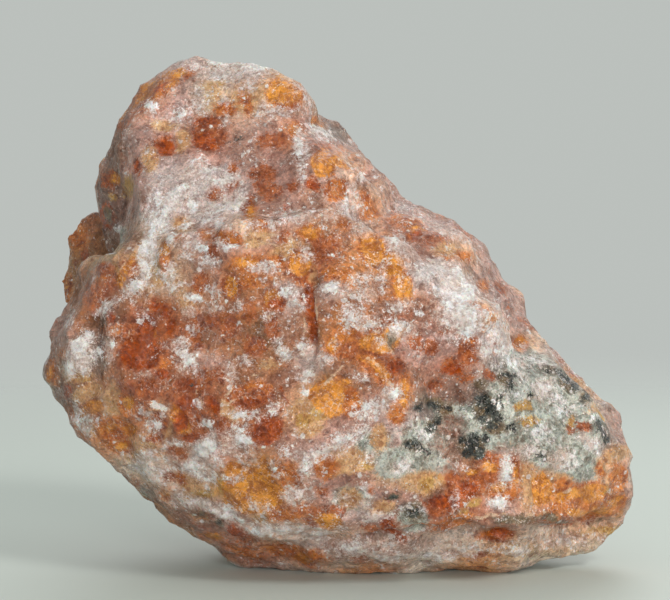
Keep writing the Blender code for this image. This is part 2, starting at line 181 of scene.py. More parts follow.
# Broad tints of the ground under the patches, from the first laid to the last, placed in the same
# way as the patches
TINTS = {
    "rose": (184, 134, 118), "pink": (202, 160, 148), "frost": (214, 192, 186), "peach": (236, 188, 150),
    "milk": (226, 210, 192), "tawny": (176, 112, 70),
    "orange": (206, 128, 72), "bright": (242, 158, 84), "ochre": (206, 146, 64), "amber": (218, 134, 34),
    "rust": (172, 96, 56), "russet": (156, 78, 30), "deep": (142, 54, 8), "brown": (136, 92, 62),
    # The darkest brown tint is painted shade, laid on the shaded left side, low on the matrix and under the lip
    "umber": (88, 58, 40), "grey": (140, 128, 118), "ash": (190, 190, 176), "slate": (84, 80, 74),
    "sand": (210, 174, 134),
}
WASHES = {
    "body": [("tawny", 190, 350, 150, 110, 0), ("tawny", 345, 325, 90, 80, 0), ("tawny", 75, 330, 50, 110, 0)],
    "crown": [("pink", 200, 140, 110, 90, 0), ("peach", 240, 90, 36, 34, 0), ("frost", 250, 66, 34, 10, 0),
              ("sand", 212, 90, 16, 22, 0), ("orange", 148, 94, 38, 14, 42), ("russet", 140, 102, 24, 7, 42),
              ("bright", 284, 92, 24, 17, -15), ("rust", 207, 134, 22, 20, 0), ("rust", 163, 147, 13, 10, 0),
              ("rose", 272, 160, 30, 40, 0), ("orange", 292, 134, 13, 14, 0), ("frost", 170, 185, 22, 30, 20),
              ("frost", 215, 185, 34, 18, 10), ("frost", 225, 210, 22, 10, 0), ("pink", 195, 235, 40, 24, 0), ("frost", 235, 235, 34, 16, 0), ("peach", 250, 225, 24, 10, 0),
              ("frost", 180, 225, 26, 22, 20), ("brown", 110, 180, 14, 12, 0), ("brown", 118, 150, 10, 26, -15)],
    "upper right": [("russet", 320, 160, 15, 17, 0), ("orange", 345, 158, 16, 10, -25), ("rust", 311, 185, 13, 9, 0),
                    ("peach", 350, 195, 34, 34, -30), ("orange", 338, 215, 20, 14, 0), ("orange", 368, 208, 12, 12, 0),
                    ("rose", 375, 170, 8, 26, -45), ("rust", 402, 220, 14, 12, 0), ("rust", 430, 236, 24, 9, -15),
                    ("pink", 440, 215, 40, 12, -30), ("peach", 460, 252, 20, 12, -20), ("orange", 470, 272, 13, 12, 0),
                    ("pink", 490, 290, 14, 30, -30), ("rust", 503, 287, 9, 10, 0), ("frost", 395, 240, 10, 10, -40)],
    # The left side lies in shade: its browns, greys and darkest brown are painted darker than the stone, painted shade
    # over its own colours
    "left": [("umber", 104, 218, 26, 34, 15), ("grey", 132, 238, 15, 20, 0), ("brown", 78, 240, 14, 20, 0),
             ("brown", 70, 284, 14, 26, 0), ("russet", 118, 272, 19, 13, 30), ("umber", 108, 318, 14, 22, 0),
             ("umber", 95, 345, 14, 22, 0), ("sand", 150, 262, 14, 30, 0), ("frost", 148, 232, 12, 22, 10),
             ("rust", 98, 295, 18, 16, 0), ("grey", 80, 358, 22, 20, 0), ("russet", 47, 372, 8, 22, 0),
             ("brown", 65, 395, 16, 12, -30), ("orange", 165, 256, 9, 12, 0), ("sand", 180, 285, 24, 24, 0),
             ("rose", 205, 262, 24, 30, 0), ("pink", 60, 325, 12, 26, 0)],
    "window": [("rust", 165, 335, 26, 36, 0), ("deep", 142, 345, 20, 30, 8), ("russet", 168, 335, 10, 30, 0),
               ("rust", 205, 335, 30, 26, 0), ("tawny", 215, 350, 26, 20, 0), ("pink", 205, 362, 22, 10, 0)],
    "middle": [("tawny", 260, 320, 44, 40, 0), ("orange", 255, 268, 32, 18, 0), ("orange", 200, 284, 11, 11, 0),
               ("russet", 229, 323, 11, 16, 0), ("orange", 305, 250, 36, 30, 0), ("russet", 302, 264, 15, 18, 0),
               ("ochre", 308, 235, 15, 12, 0), ("rust", 275, 299, 14, 12, 0), ("brown", 270, 332, 17, 20, 0),
               ("rust", 325, 262, 18, 26, 0), ("frost", 290, 298, 16, 14, 0), ("orange", 345, 312, 36, 22, 0),
               ("orange", 345, 272, 16, 14, 0), ("frost", 330, 292, 14, 10, 0), ("amber", 373, 248, 19, 22, -20),
               ("amber", 394, 265, 15, 16, -20), ("orange", 404, 288, 17, 18, 0), ("rust", 398, 322, 30, 16, 0),
               ("orange", 350, 342, 34, 22, 0), ("russet", 378, 345, 24, 20, 0), ("russet", 392, 330, 10, 22, 0),
               ("russet", 396, 370, 13, 12, 0), ("orange", 415, 390, 14, 30, 0), ("frost", 310, 362, 16, 14, 0)],
    "shoulder": [("frost", 430, 275, 26, 14, 10), ("frost", 454, 284, 18, 20, 0), ("frost", 465, 318, 15, 26, -15),
                 ("peach", 490, 318, 34, 12, -38), ("peach", 540, 335, 12, 26, -45), ("ochre", 521, 344, 11, 10, 0),
                 ("rose", 440, 350, 44, 34, 0), ("rust", 452, 366, 24, 12, 0), ("pink", 425, 350, 24, 16, 0),
                 ("frost", 492, 350, 12, 14, 0), ("peach", 590, 390, 14, 34, -42)],
    "matrix": [("ash", 545, 415, 56, 62, -20), ("ash", 575, 460, 36, 24, -20), ("grey", 505, 372, 24, 12, -20),
               ("grey", 450, 420, 44, 36, 0), ("slate", 432, 403, 16, 12, 0), ("slate", 488, 408, 24, 22, 0),
               ("slate", 484, 434, 22, 20, 0), ("slate", 474, 448, 18, 14, 0), ("slate", 412, 447, 14, 9, 0),
               # The browns at 465, 484 and 445, 445 and the darkest brown at 452, 500 are painted shade low on the
               # matrix
               ("slate", 434, 425, 11, 10, 0), ("brown", 465, 484, 26, 18, 0), ("umber", 452, 500, 26, 14, 0),
               ("frost", 400, 430, 22, 18, 20), ("brown", 445, 445, 14, 12, 0), ("grey", 572, 385, 14, 22, 45),
               ("sand", 527, 412, 12, 16, 0), ("rose", 588, 427, 12, 9, 0), ("grey", 604, 430, 8, 16, 25),
               ("frost", 542, 384, 16, 9, -45), ("frost", 590, 448, 12, 10, 0)],
    "lower left": [("orange", 118, 430, 34, 26, 10), ("russet", 92, 410, 14, 10, 15), ("rust", 130, 398, 18, 18, 0),
                   ("peach", 110, 405, 10, 14, 0), ("rust", 155, 405, 24, 26, 0), ("russet", 188, 395, 20, 24, 0),
                   ("russet", 172, 418, 16, 18, 0), ("russet", 212, 412, 16, 20, 0), ("russet", 194, 436, 15, 11, 0),
                   ("peach", 160, 412, 12, 10, 0), ("russet", 250, 400, 22, 14, 10), ("rust", 232, 432, 18, 18, 0),
                   ("russet", 268, 430, 19, 19, 0), ("peach", 152, 470, 48, 30, -20), ("milk", 146, 468, 26, 12, -20), ("frost", 206, 450, 14, 12, 0),
                   ("pink", 235, 450, 26, 12, 0), ("frost", 200, 488, 28, 18, -10), ("frost", 195, 466, 12, 10, 0),
                   ("peach", 205, 492, 22, 10, 0)],
    "lower middle": [("ochre", 328, 396, 19, 18, 0), ("peach", 305, 415, 18, 24, 0), ("pink", 370, 415, 28, 18, 25),
                     ("rose", 345, 420, 14, 18, 0), ("pink", 320, 445, 34, 16, 10), ("frost", 305, 470, 14, 22, 0),
                     ("rose", 350, 470, 44, 26, 0), ("sand", 400, 470, 30, 16, 0), ("amber", 252, 490, 35, 28, 0),
                     ("amber", 258, 470, 20, 18, 0), ("ochre", 222, 486, 13, 12, 0), ("orange", 290, 480, 17, 18, 0),
                     ("orange", 300, 514, 26, 12, 0), ("russet", 326, 520, 22, 12, 0), ("frost", 355, 505, 24, 14, 0),
                     # The darkest brown here, at the foot of the matrix and under the lip, is painted shade
                     ("ochre", 428, 481, 18, 12, 0), ("umber", 444, 503, 18, 11, 0), ("slate", 414, 514, 14, 12, 0),
                     ("umber", 390, 530, 16, 9, -25), ("frost", 225, 512, 30, 9, -25), ("frost", 275, 531, 20, 7, 0)],
    "lower right": [("orange", 490, 480, 36, 24, 0), ("russet", 515, 472, 7, 16, 0), ("frost", 504, 472, 9, 18, 0),
                    ("frost", 500, 503, 13, 8, 0), ("peach", 530, 486, 12, 26, 0), ("amber", 544, 489, 14, 16, 0),
                    ("orange", 580, 500, 46, 20, 5), ("amber", 590, 498, 24, 12, 5), ("russet", 580, 512, 40, 6, 0),
                    ("peach", 609, 490, 13, 14, 0), ("peach", 618, 465, 14, 30, -70), ("pink", 625, 480, 10, 22, 0), ("amber", 612, 506, 14, 10, 10)],
    # The foot: the browns under the lips are painted shade; the pale milk, peach and sand tints are its own pale band
    # and partly painted light, lighter than the stone where the underside faces down
    "foot": [("milk", 470, 556, 190, 30, 5), ("milk", 340, 560, 60, 14, -10), ("rose", 235, 538, 40, 12, -22),
             ("brown", 200, 522, 24, 8, -20), ("brown", 150, 500, 20, 5, -42), ("russet", 250, 556, 30, 12, -20), ("orange", 302, 558, 24, 10, -20),
             ("peach", 300, 535, 50, 12, 0),
             ("pink", 370, 550, 50, 12, 0), ("milk", 440, 552, 44, 9, 5), ("brown", 540, 520, 44, 5, 0),
             ("russet", 498, 532, 20, 8, 0), ("milk", 520, 547, 60, 10, 5), ("milk", 600, 534, 40, 9, 15),
             ("frost", 310, 542, 24, 7, 0), ("peach", 592, 528, 34, 11, 15), ("sand", 545, 548, 50, 10, 5),
             ("peach", 556, 540, 24, 8, 5)],
}

# Marks on the side that is shown. Each patch is the pixel of its middle, its half width and half
# height in pixels, and its turn in degrees, right end up where it is above 0
PATCHES = {
    "matrix": {
        "right slope": [(535, 372, 38, 20, -35), (548, 405, 44, 30, -50), (540, 440, 40, 26, -20),
                        (580, 462, 26, 20, -30), (508, 395, 20, 26, 0), (590, 420, 12, 24, 30)],
        "middle": [(425, 440, 26, 20, -10), (455, 415, 22, 16, -20), (400, 462, 30, 16, 10), (490, 430, 22, 22, 0),
                   (372, 445, 20, 12, 20), (430, 465, 26, 10, 0), (352, 500, 22, 14, 10), (415, 520, 14, 12, 0)],
        "left": [(122, 235, 8, 8, 0), (148, 492, 8, 8, -45)],
    },
    "mauve": {
        "crown": [(256, 104, 5, 5, 0), (308, 97, 7, 6, 0), (300, 160, 14, 22, 0), (270, 205, 22, 20, 0),
                  (245, 150, 18, 16, 0)],
        "upper right": [(375, 175, 6, 16, -40), (312, 205, 14, 12, 0), (425, 212, 8, 5, 0), (352, 145, 9, 8, 0)],
        "left": [(145, 195, 8, 8, 0), (130, 238, 11, 14, 0), (131, 277, 7, 13, 0), (112, 315, 7, 9, 0),
                 (98, 336, 10, 9, 0), (57, 335, 5, 9, 0), (66, 395, 9, 12, 0), (128, 216, 11, 5, 0),
                 (205, 362, 5, 7, 0), (215, 333, 15, 12, 0), (85, 330, 8, 8, 0)],
        "middle": [(290, 328, 19, 17, 0), (325, 300, 14, 17, 0), (355, 300, 15, 9, 0), (385, 310, 15, 10, 0),
                   (425, 310, 16, 12, 0), (345, 372, 16, 10, 0), (285, 380, 16, 12, 20)],
        "lower": [(450, 470, 14, 10, 0), (444, 490, 14, 8, 0), (445, 390, 27, 14, -15), (450, 425, 15, 12, 0), (443, 447, 12, 8, 0), (240, 450, 14, 8, 0),
                  # The turned patches at 200, 522 and 152, 490 are painted shade under the left lip
                  (290, 445, 18, 8, 0), (360, 483, 12, 10, 0), (200, 522, 24, 7, -20), (152, 490, 14, 6, -42),
                  (350, 545, 30, 10, 0), (408, 542, 20, 10, 0), (172, 470, 12, 10, 0), (487, 280, 8, 14, 0)],
    },
    "tan": {
        "crown": [(284, 82, 16, 7, -25), (262, 90, 8, 10, 0), (183, 140, 7, 13, 0), (163, 125, 15, 8, 0), (150, 160, 9, 13, 0), (212, 92, 10, 13, 0),
                  (245, 98, 16, 16, 0)],
        "left": [(155, 260, 6, 6, 0), (180, 224, 10, 10, 0), (187, 303, 8, 6, 0), (160, 283, 9, 9, 0),
                 (75, 372, 16, 12, 0), (88, 392, 14, 9, 20), (113, 402, 9, 17, 0), (92, 430, 8, 6, 0)],
        "middle": [(312, 270, 5, 15, 0), (258, 236, 17, 8, 25), (285, 250, 16, 9, 30), (303, 408, 12, 10, 0),
                   (310, 425, 12, 12, 0), (270, 365, 9, 5, 0), (343, 462, 30, 14, 5), (380, 438, 8, 12, 0),
                   (383, 508, 13, 9, 0), (421, 482, 20, 11, 0), (350, 500, 14, 12, 0), (230, 410, 8, 16, 50)],
        "right": [(448, 250, 13, 8, 0), (468, 272, 7, 5, 0), (575, 376, 13, 5, -42), (598, 405, 5, 10, -55),
                  (616, 455, 8, 16, -60), (528, 485, 9, 22, 0), (607, 492, 8, 8, 0), (561, 482, 10, 8, 0),
                  (590, 536, 16, 6, 0), (612, 528, 10, 6, 10), (600, 466, 6, 12, 0)],
        "lower": [(168, 428, 6, 10, 0), (190, 482, 15, 10, 0), (132, 452, 11, 12, 0), (148, 442, 8, 9, 0),
                  (265, 517, 14, 6, 0)],
    },
    "yellow": {
        "crown": [(222, 82, 5, 4, 0), (128, 188, 5, 12, -15), (207, 98, 3, 9, 10), (113, 197, 4, 3, 0)],
        "left": [(155, 262, 4, 4, 0), (82, 378, 5, 3, 0), (115, 268, 3, 7, 55)],
        "middle": [(361, 404, 4, 4, 0), (303, 420, 9, 8, 0), (322, 413, 11, 6, 0), (428, 483, 8, 7, 0),
                   (367, 466, 6, 4, 0), (475, 503, 6, 5, 0), (462, 512, 6, 4, 0)],
        "right": [(525, 405, 8, 6, 0), (530, 421, 9, 5, 0), (607, 494, 6, 6, 0), (618, 508, 7, 8, 0),
                  (573, 424, 4, 8, 0), (606, 531, 16, 5, 10)],
        "lower": [(226, 485, 7, 12, -20), (205, 492, 10, 5, 0), (190, 497, 9, 4, 0)],
    },
    "orange": {
        "crown": [(245, 100, 6, 14, 10), (188, 73, 11, 4, 25), (284, 95, 20, 15, -15), (150, 95, 28, 9, 42),
                  (225, 110, 10, 10, 0)],
        "upper right": [(296, 130, 7, 9, 0), (320, 123, 10, 4, -25), (338, 190, 14, 12, 0), (365, 200, 6, 10, 25),
                        (370, 215, 11, 8, 0), (345, 226, 9, 7, 0), (398, 218, 8, 9, 0), (345, 160, 12, 9, -30)],
        "left": [(78, 235, 8, 16, 20), (65, 290, 9, 14, 0), (65, 352, 9, 7, 0), (50, 372, 5, 12, 0),
                 (165, 262, 6, 12, 0), (180, 238, 9, 4, 0), (214, 234, 19, 7, 0), (130, 268, 7, 10, 50),
                 (160, 366, 13, 6, 0), (112, 330, 10, 7, 0), (103, 270, 9, 8, 40)],
        "middle": [(310, 233, 14, 10, 0), (250, 214, 7, 11, 0), (230, 240, 13, 8, 0), (262, 224, 16, 6, 0),
                   (372, 248, 14, 18, 0), (402, 284, 11, 18, 0), (330, 275, 8, 7, 0), (347, 277, 9, 6, 0),
                   (248, 264, 20, 9, 0), (246, 284, 17, 8, 0), (350, 335, 14, 11, 0), (335, 345, 10, 13, 0),
                   (300, 276, 8, 12, 0), (275, 262, 10, 8, 0), (375, 370, 24, 9, -35), (404, 392, 8, 20, 0),
                   (396, 414, 9, 12, 20), (350, 403, 11, 18, 15)],
        "right": [(415, 228, 12, 11, 0), (463, 256, 9, 5, 0), (448, 258, 5, 3, 0), (480, 309, 26, 5, -35),
                  (485, 285, 8, 6, 0), (470, 345, 12, 10, 0), (520, 343, 9, 9, 0)],
        "lower left": [(115, 430, 22, 11, 5), (118, 446, 17, 9, -10), (127, 404, 11, 11, 0), (290, 476, 14, 15, 0),
                       (327, 466, 14, 12, 0), (287, 512, 20, 10, 15), (250, 392, 20, 10, 10), (212, 537, 12, 5, 0),
                       (296, 552, 38, 8, -10), (240, 548, 22, 6, -22), (165, 493, 6, 9, 0), (200, 516, 10, 5, 0), (180, 478, 8, 7, 0)],
        "lower right": [(500, 464, 14, 9, 5), (504, 492, 16, 11, 0), (583, 508, 38, 12, 0), (585, 492, 20, 9, 15),
                        (516, 474, 6, 18, 0), (562, 490, 12, 9, 10), (545, 518, 22, 6, 0), (618, 478, 10, 17, 0),
                        (612, 505, 16, 12, 10), (455, 497, 10, 10, 0), (600, 470, 5, 10, 0), (455, 522, 22, 6, 12)],
    },
    "rust": {
        "crown": [(140, 106, 20, 6, 45), (124, 126, 6, 12, -20), (165, 145, 11, 9, 0), (211, 133, 18, 17, 0), (272, 140, 16, 9, 0), (215, 194, 10, 7, 0),
                  (232, 168, 7, 6, 0), (262, 174, 13, 9, 0), (268, 190, 15, 10, 0), (110, 180, 9, 9, 0),
                  (137, 166, 5, 7, 0), (248, 205, 8, 11, 0), (232, 185, 9, 6, 0)],
        "upper right": [(325, 147, 9, 7, 0), (313, 183, 9, 7, 0), (284, 235, 5, 8, 0), (417, 230, 9, 8, 0),
                        (405, 214, 4, 5, 0), (326, 163, 13, 14, 0), (293, 186, 6, 6, 0)],
        "left": [(84, 255, 5, 7, 0), (104, 268, 9, 7, 0), (112, 281, 7, 9, 0), (95, 297, 13, 15, 0),
                 (142, 341, 18, 21, 0), (130, 362, 9, 8, 0), (155, 305, 6, 9, 0), (165, 310, 13, 6, -60),
                 (172, 327, 6, 11, 0), (201, 284, 10, 11, 0), (212, 251, 9, 9, 0), (228, 326, 12, 8, 65),
                 (215, 318, 8, 9, 0), (165, 252, 5, 9, 0), (160, 345, 6, 10, 0), (108, 352, 9, 8, 0),
                 (200, 320, 8, 10, 0), (196, 342, 8, 10, 0)],
        "middle": [(275, 300, 12, 12, 0), (272, 328, 7, 13, 0), (325, 248, 14, 13, 0), (300, 266, 13, 15, 0),
                   (232, 285, 10, 14, 0), (250, 312, 9, 14, 0), (375, 345, 16, 12, 0), (393, 366, 11, 9, 0),
                   (310, 305, 6, 22, 0), (350, 350, 12, 9, 0), (255, 345, 12, 10, 0), (392, 262, 13, 13, 0)],
        "right": [(437, 238, 12, 5, -10), (466, 232, 12, 5, -33), (503, 286, 8, 9, 0), (515, 304, 4, 6, 0),
                  (530, 326, 10, 4, -45), (445, 307, 7, 5, 0), (468, 354, 10, 12, 0), (450, 366, 12, 8, 0),
                  (430, 346, 8, 8, 0), (415, 340, 8, 12, 0), (573, 372, 5, 4, -45), (495, 352, 5, 4, 0),
                  (446, 330, 7, 6, 0), (490, 374, 9, 5, -30), (466, 378, 9, 5, 0), (436, 384, 8, 5, 0),
                  (585, 427, 7, 5, 0), (572, 430, 4, 4, 0)],
        "lower left": [(187, 392, 17, 15, 0), (192, 415, 17, 20, 0), (155, 436, 8, 5, 0), (195, 435, 11, 8, 0),
                       (172, 450, 8, 6, 0), (150, 388, 12, 12, 0), (225, 432, 9, 14, 0), (250, 400, 20, 12, 10),
                       (266, 429, 17, 16, 0), (128, 390, 10, 9, 0), (160, 420, 11, 10, 0), (168, 478, 8, 6, 0),
                       (180, 455, 10, 8, 0), (235, 395, 9, 8, 40), (320, 490, 6, 5, 0), (371, 491, 4, 5, 0),
                       (145, 405, 10, 6, 0), (222, 375, 9, 8, 0), (205, 380, 9, 12, 0)],
        "lower right": [(330, 512, 15, 5, 0), (310, 524, 9, 6, 0), (370, 528, 9, 6, 0), (485, 458, 14, 5, 5),
                        (515, 465, 5, 10, 0), (440, 507, 20, 8, 0), (464, 490, 18, 12, 0), (480, 476, 18, 12, 0), (452, 480, 10, 10, 0), (302, 560, 14, 6, -20),
                        (248, 540, 12, 6, -25), (498, 534, 17, 8, 0), (360, 556, 12, 5, 0), (560, 520, 26, 4, 0),
                        (450, 552, 8, 4, 0), (480, 556, 8, 4, 0)],
    },
    "amber": {
        "crown": [(120, 116, 5, 8, -30), (147, 92, 16, 6, 40), (172, 77, 12, 6, 30), (283, 93, 17, 12, -15),
                  (270, 98, 5, 9, 0), (115, 180, 6, 6, 0)],
        "upper right": [(324, 163, 13, 14, 0), (346, 161, 11, 7, -20), (310, 232, 10, 7, 0), (296, 130, 4, 6, 0),
                        (320, 123, 7, 3, -25), (417, 228, 6, 6, 0)],
        "left": [(127, 266, 16, 4, 57), (62, 284, 6, 7, 0), (48, 372, 4, 9, 0), (163, 250, 5, 8, 0),
                 (90, 410, 13, 8, 20), (147, 338, 9, 16, -10)],
        "middle": [(300, 264, 11, 12, 0), (393, 264, 12, 14, 0), (373, 249, 12, 17, 10), (403, 288, 9, 13, 0),
                   (273, 298, 8, 8, 0), (232, 287, 6, 9, 0), (375, 344, 15, 10, 0), (391, 337, 14, 9, 65),
                   (327, 396, 17, 16, 0), (332, 410, 10, 8, 0), (341, 384, 9, 8, 0), (251, 213, 4, 9, 0),
                   (375, 368, 16, 4, -35), (405, 392, 5, 14, 0), (333, 345, 6, 8, 0), (247, 263, 11, 5, 0)],
        "right": [(520, 343, 7, 6, 0), (542, 489, 11, 16, 0), (593, 494, 14, 9, 10), (577, 494, 12, 5, 20),
                  (560, 498, 7, 5, 20), (600, 510, 12, 5, 0), (616, 502, 7, 6, 0), (580, 514, 12, 4, 0),
                  (515, 474, 4, 10, 0), (490, 465, 10, 5, 0)],
        "lower left": [(130, 430, 8, 5, 0), (122, 445, 7, 4, 0), (177, 414, 6, 10, 0), (250, 490, 28, 25, 0),
                       (262, 470, 11, 15, 0), (240, 500, 17, 12, 0), (274, 496, 12, 12, 0), (235, 468, 8, 7, 0),
                       (110, 428, 9, 4, 10), (185, 425, 6, 8, 0), (127, 403, 6, 6, 0), (212, 537, 8, 4, 0),
                       (165, 493, 4, 6, 0)],
        "lower right": [(328, 522, 14, 8, 0), (498, 532, 12, 5, 0), (302, 560, 9, 5, -20), (470, 470, 6, 4, 0),
                        (500, 488, 8, 5, 0)],
    },
    "deep": {
        "crown": [(158, 88, 8, 3, 38), (205, 121, 10, 5, 0), (205, 140, 13, 9, 0), (165, 146, 8, 6, 0),
                  (137, 166, 3, 5, 0), (107, 216, 9, 14, 0)],
        "upper right": [(312, 184, 6, 5, 0), (287, 209, 3, 4, 0)],
        "left": [(146, 330, 9, 17, -14), (136, 352, 14, 17, -10), (150, 352, 11, 18, 0), (155, 306, 4, 7, 0), (163, 309, 9, 3, -60),
                 (172, 327, 4, 8, 0), (160, 374, 9, 4, 0), (192, 384, 8, 6, 0), (112, 318, 4, 5, 0),
                 (66, 392, 6, 8, 0)],
        # The first two are the slot: painted shade in its crack, in the stone's deep amber
        "middle": [(310, 300, 3, 16, -3), (305, 298, 5, 6, 0), (393, 367, 7, 6, 0), (264, 440, 10, 6, 0),
                   (276, 302, 7, 5, 0)],
        "right": [(453, 370, 10, 7, 0), (503, 288, 5, 6, 0), (417, 232, 5, 5, 0)],
        "lower left": [(187, 405, 10, 8, 0), (215, 405, 5, 9, 25), (182, 420, 8, 9, 0), (190, 436, 8, 4, 0),
                       (267, 429, 14, 12, 0), (252, 403, 12, 5, 10), (235, 532, 9, 7, -20)],
        "lower right": [(446, 502, 18, 7, 0), (468, 490, 9, 8, 0), (390, 526, 12, 6, -35), (400, 537, 6, 7, 0), (500, 532, 11, 5, 0)],
    },
    "olive": {
        "upper": [(391, 338, 9, 5, 65),
                  (108, 216, 6, 9, 0)],
        "lower": [(435, 403, 14, 6, -10), (505, 378, 8, 10, 0), (480, 385, 6, 6, 0), (446, 411, 9, 6, 0),
                  (415, 514, 9, 11, 0), (432, 425, 8, 6, 40), (495, 430, 12, 8, 0), (412, 447, 12, 6, 0),
                  (486, 408, 14, 12, 0), (472, 447, 14, 12, 0), (566, 384, 12, 6, -40), (586, 397, 5, 8, 0),
                  # Those at 200, 515, at 217, 523 and at 520, 518 are painted shade in the creases under the lips
                  (200, 515, 8, 4, 0), (217, 523, 5, 4, 0), (395, 498, 9, 5, 0), (520, 518, 24, 4, 0),
                  (550, 372, 14, 5, -25), (603, 430, 5, 9, 20)],
    },
    "cream": {
        "crown": [(262, 106, 7, 7, 0), (228, 70, 24, 6, 0), (245, 82, 14, 8, 0), (310, 97, 6, 9, 0),
                  (200, 100, 10, 12, 0)],
        "upper": [(200, 212, 9, 8, 0), (220, 205, 14, 9, 15), (195, 180, 14, 14, 20), (176, 200, 16, 12, 40),
                  (345, 208, 7, 12, -20), (300, 218, 14, 8, 0), (330, 215, 12, 8, 0), (365, 228, 14, 9, 0),
                  (150, 235, 10, 20, 10), (145, 260, 8, 16, 15)],
        "left": [(190, 313, 9, 6, 0), (212, 307, 9, 6, 0), (168, 291, 12, 6, 0), (148, 375, 7, 4, 0),
                 (80, 352, 16, 20, 0), (108, 305, 5, 14, -60), (110, 345, 6, 15, 0), (230, 372, 7, 9, 0),
                 (188, 362, 5, 12, -45), (130, 290, 7, 9, 0), (85, 425, 10, 10, 0), (180, 345, 10, 8, 0)],
        "middle": [(264, 268, 13, 6, 0), (285, 353, 10, 7, 0), (305, 350, 10, 10, 0), (370, 412, 20, 11, 25),
                   (345, 438, 16, 7, 15), (330, 452, 17, 8, 25), (303, 470, 8, 15, 0), (292, 493, 11, 6, 20),
                   (305, 375, 9, 11, 0), (362, 322, 18, 8, 0), (405, 330, 14, 10, 0), (388, 396, 12, 8, 30),
                   (365, 292, 20, 7, 0), (400, 305, 12, 7, 0), (366, 278, 12, 5, 0), (405, 250, 12, 10, -30)],
        "right": [(456, 300, 24, 34, -20), (450, 305, 22, 9, -35), (475, 318, 14, 9, -30), (500, 335, 16, 10, -40), (440, 270, 20, 10, 0),
                  (485, 350, 12, 8, -30), (455, 235, 24, 4, -28), (525, 452, 14, 8, 0), (545, 390, 12, 12, -50),
                  (560, 350, 20, 6, -38), (500, 310, 14, 6, -40), (560, 460, 14, 12, 0)],
        "lower": [(150, 472, 28, 9, -38), (178, 494, 20, 6, -35), (405, 467, 8, 6, 0), (365, 505, 10, 8, 20), (368, 545, 36, 11, 0), (215, 508, 24, 8, -20),
                  (245, 524, 22, 6, -20), (280, 530, 18, 5, 5), (160, 462, 22, 12, 0), (205, 470, 16, 12, 0),
                  (450, 550, 40, 9, 0), (300, 535, 30, 10, 0), (300, 498, 14, 6, 20),
                  (560, 540, 40, 7, 0), (250, 460, 10, 8, 0), (232, 440, 14, 14, 0)],
    },
    "chalk": {
        "crown": [(235, 72, 25, 8, 0), (262, 69, 12, 4, -15), (178, 115, 9, 3, 0), (152, 106, 7, 5, 30),
                  (210, 172, 14, 8, 20), (228, 178, 10, 7, 20), (305, 88, 9, 4, -60), (197, 105, 6, 4, 0),
                  (285, 112, 14, 3, 0), (225, 100, 4, 6, 0), (226, 122, 4, 8, 0)],
        "upper": [(320, 132, 14, 6, -25), (345, 205, 3, 10, -20), (357, 200, 4, 12, 0), (362, 176, 5, 9, 0),
                  (275, 222, 10, 5, 0), (285, 212, 7, 5, 0), (392, 240, 9, 5, 0), (405, 210, 12, 4, -20),
                  (240, 198, 7, 12, 0), (222, 205, 12, 5, 25), (185, 190, 16, 6, 35), (172, 205, 12, 8, 30),
                  (200, 190, 12, 7, 20), (160, 190, 5, 9, 0), (190, 215, 9, 6, 0), (350, 190, 6, 5, 0),
                  (300, 140, 5, 16, 0), (303, 168, 4, 14, 0), (250, 225, 7, 4, 0)],
        "left": [(150, 250, 8, 14, 15), (165, 232, 7, 4, 0), (190, 237, 6, 5, 0), (198, 243, 5, 7, 0),
                 (215, 223, 9, 4, 0), (185, 255, 7, 4, 0), (210, 262, 8, 5, 0), (211, 289, 5, 6, 0),
                 (118, 230, 5, 5, 0), (69, 318, 4, 9, -20), (80, 360, 13, 13, 0), (68, 370, 8, 7, 0),
                 (87, 340, 7, 6, 0), (181, 343, 5, 4, 0), (108, 306, 3, 12, -60), (58, 392, 5, 4, 0),
                 (140, 278, 5, 14, 10), (160, 222, 10, 9, 30), (172, 270, 5, 8, 0), (183, 285, 6, 4, 0),
                 (96, 352, 5, 5, 0), (152, 224, 6, 12, 20), (192, 330, 4, 5, 0)],
        "middle": [(265, 267, 12, 5, 0), (264, 280, 4, 3, 0), (277, 282, 3, 3, 0), (395, 238, 9, 6, 0),
                   (347, 322, 4, 3, 0), (337, 343, 4, 3, 0), (382, 341, 3, 3, 0), (303, 345, 7, 5, 0),
                   (285, 355, 9, 5, 0), (292, 292, 10, 5, 0), (302, 305, 4, 6, 0), (305, 373, 6, 7, 0),
                   (365, 405, 12, 5, 30), (352, 437, 12, 5, 10), (322, 452, 10, 7, 25), (306, 465, 5, 8, 0),
                   (272, 409, 8, 5, 30), (397, 395, 5, 7, 0), (245, 360, 7, 5, 0), (360, 378, 5, 4, 0),
                   (350, 312, 9, 4, 0), (375, 325, 8, 4, 0), (305, 250, 4, 6, 0), (238, 305, 5, 5, 0),
                   (330, 360, 6, 4, 0), (278, 342, 5, 4, 0), (400, 325, 8, 5, 0)],
        "shoulder": [(458, 298, 16, 26, -15), (455, 285, 14, 15, 0), (425, 275, 15, 8, 0), (452, 302, 13, 8, 0), (475, 311, 13, 8, -20),
                     (470, 330, 9, 8, 0), (460, 320, 12, 9, 0), (452, 337, 8, 4, 0), (490, 350, 8, 5, 0),
                     (500, 337, 10, 7, -30), (440, 290, 9, 8, 0), (470, 300, 9, 6, 0), (438, 262, 9, 4, -20),
                     (520, 362, 12, 5, -15), (505, 352, 6, 5, 0), (545, 390, 5, 10, 40), (555, 397, 6, 4, 0),
                     (562, 410, 4, 5, 0), (595, 447, 7, 5, 0), (540, 365, 12, 4, -25), (562, 358, 12, 3, -40),
                     (520, 375, 8, 5, 0), (540, 430, 9, 5, 0), (548, 440, 8, 4, 0), (570, 460, 8, 6, 0),
                     (513, 394, 9, 4, 0), (497, 365, 7, 4, 0)],
        "lower left": [(205, 449, 11, 9, 0), (208, 424, 6, 5, 0), (211, 437, 4, 7, 0), (194, 466, 9, 6, 0),
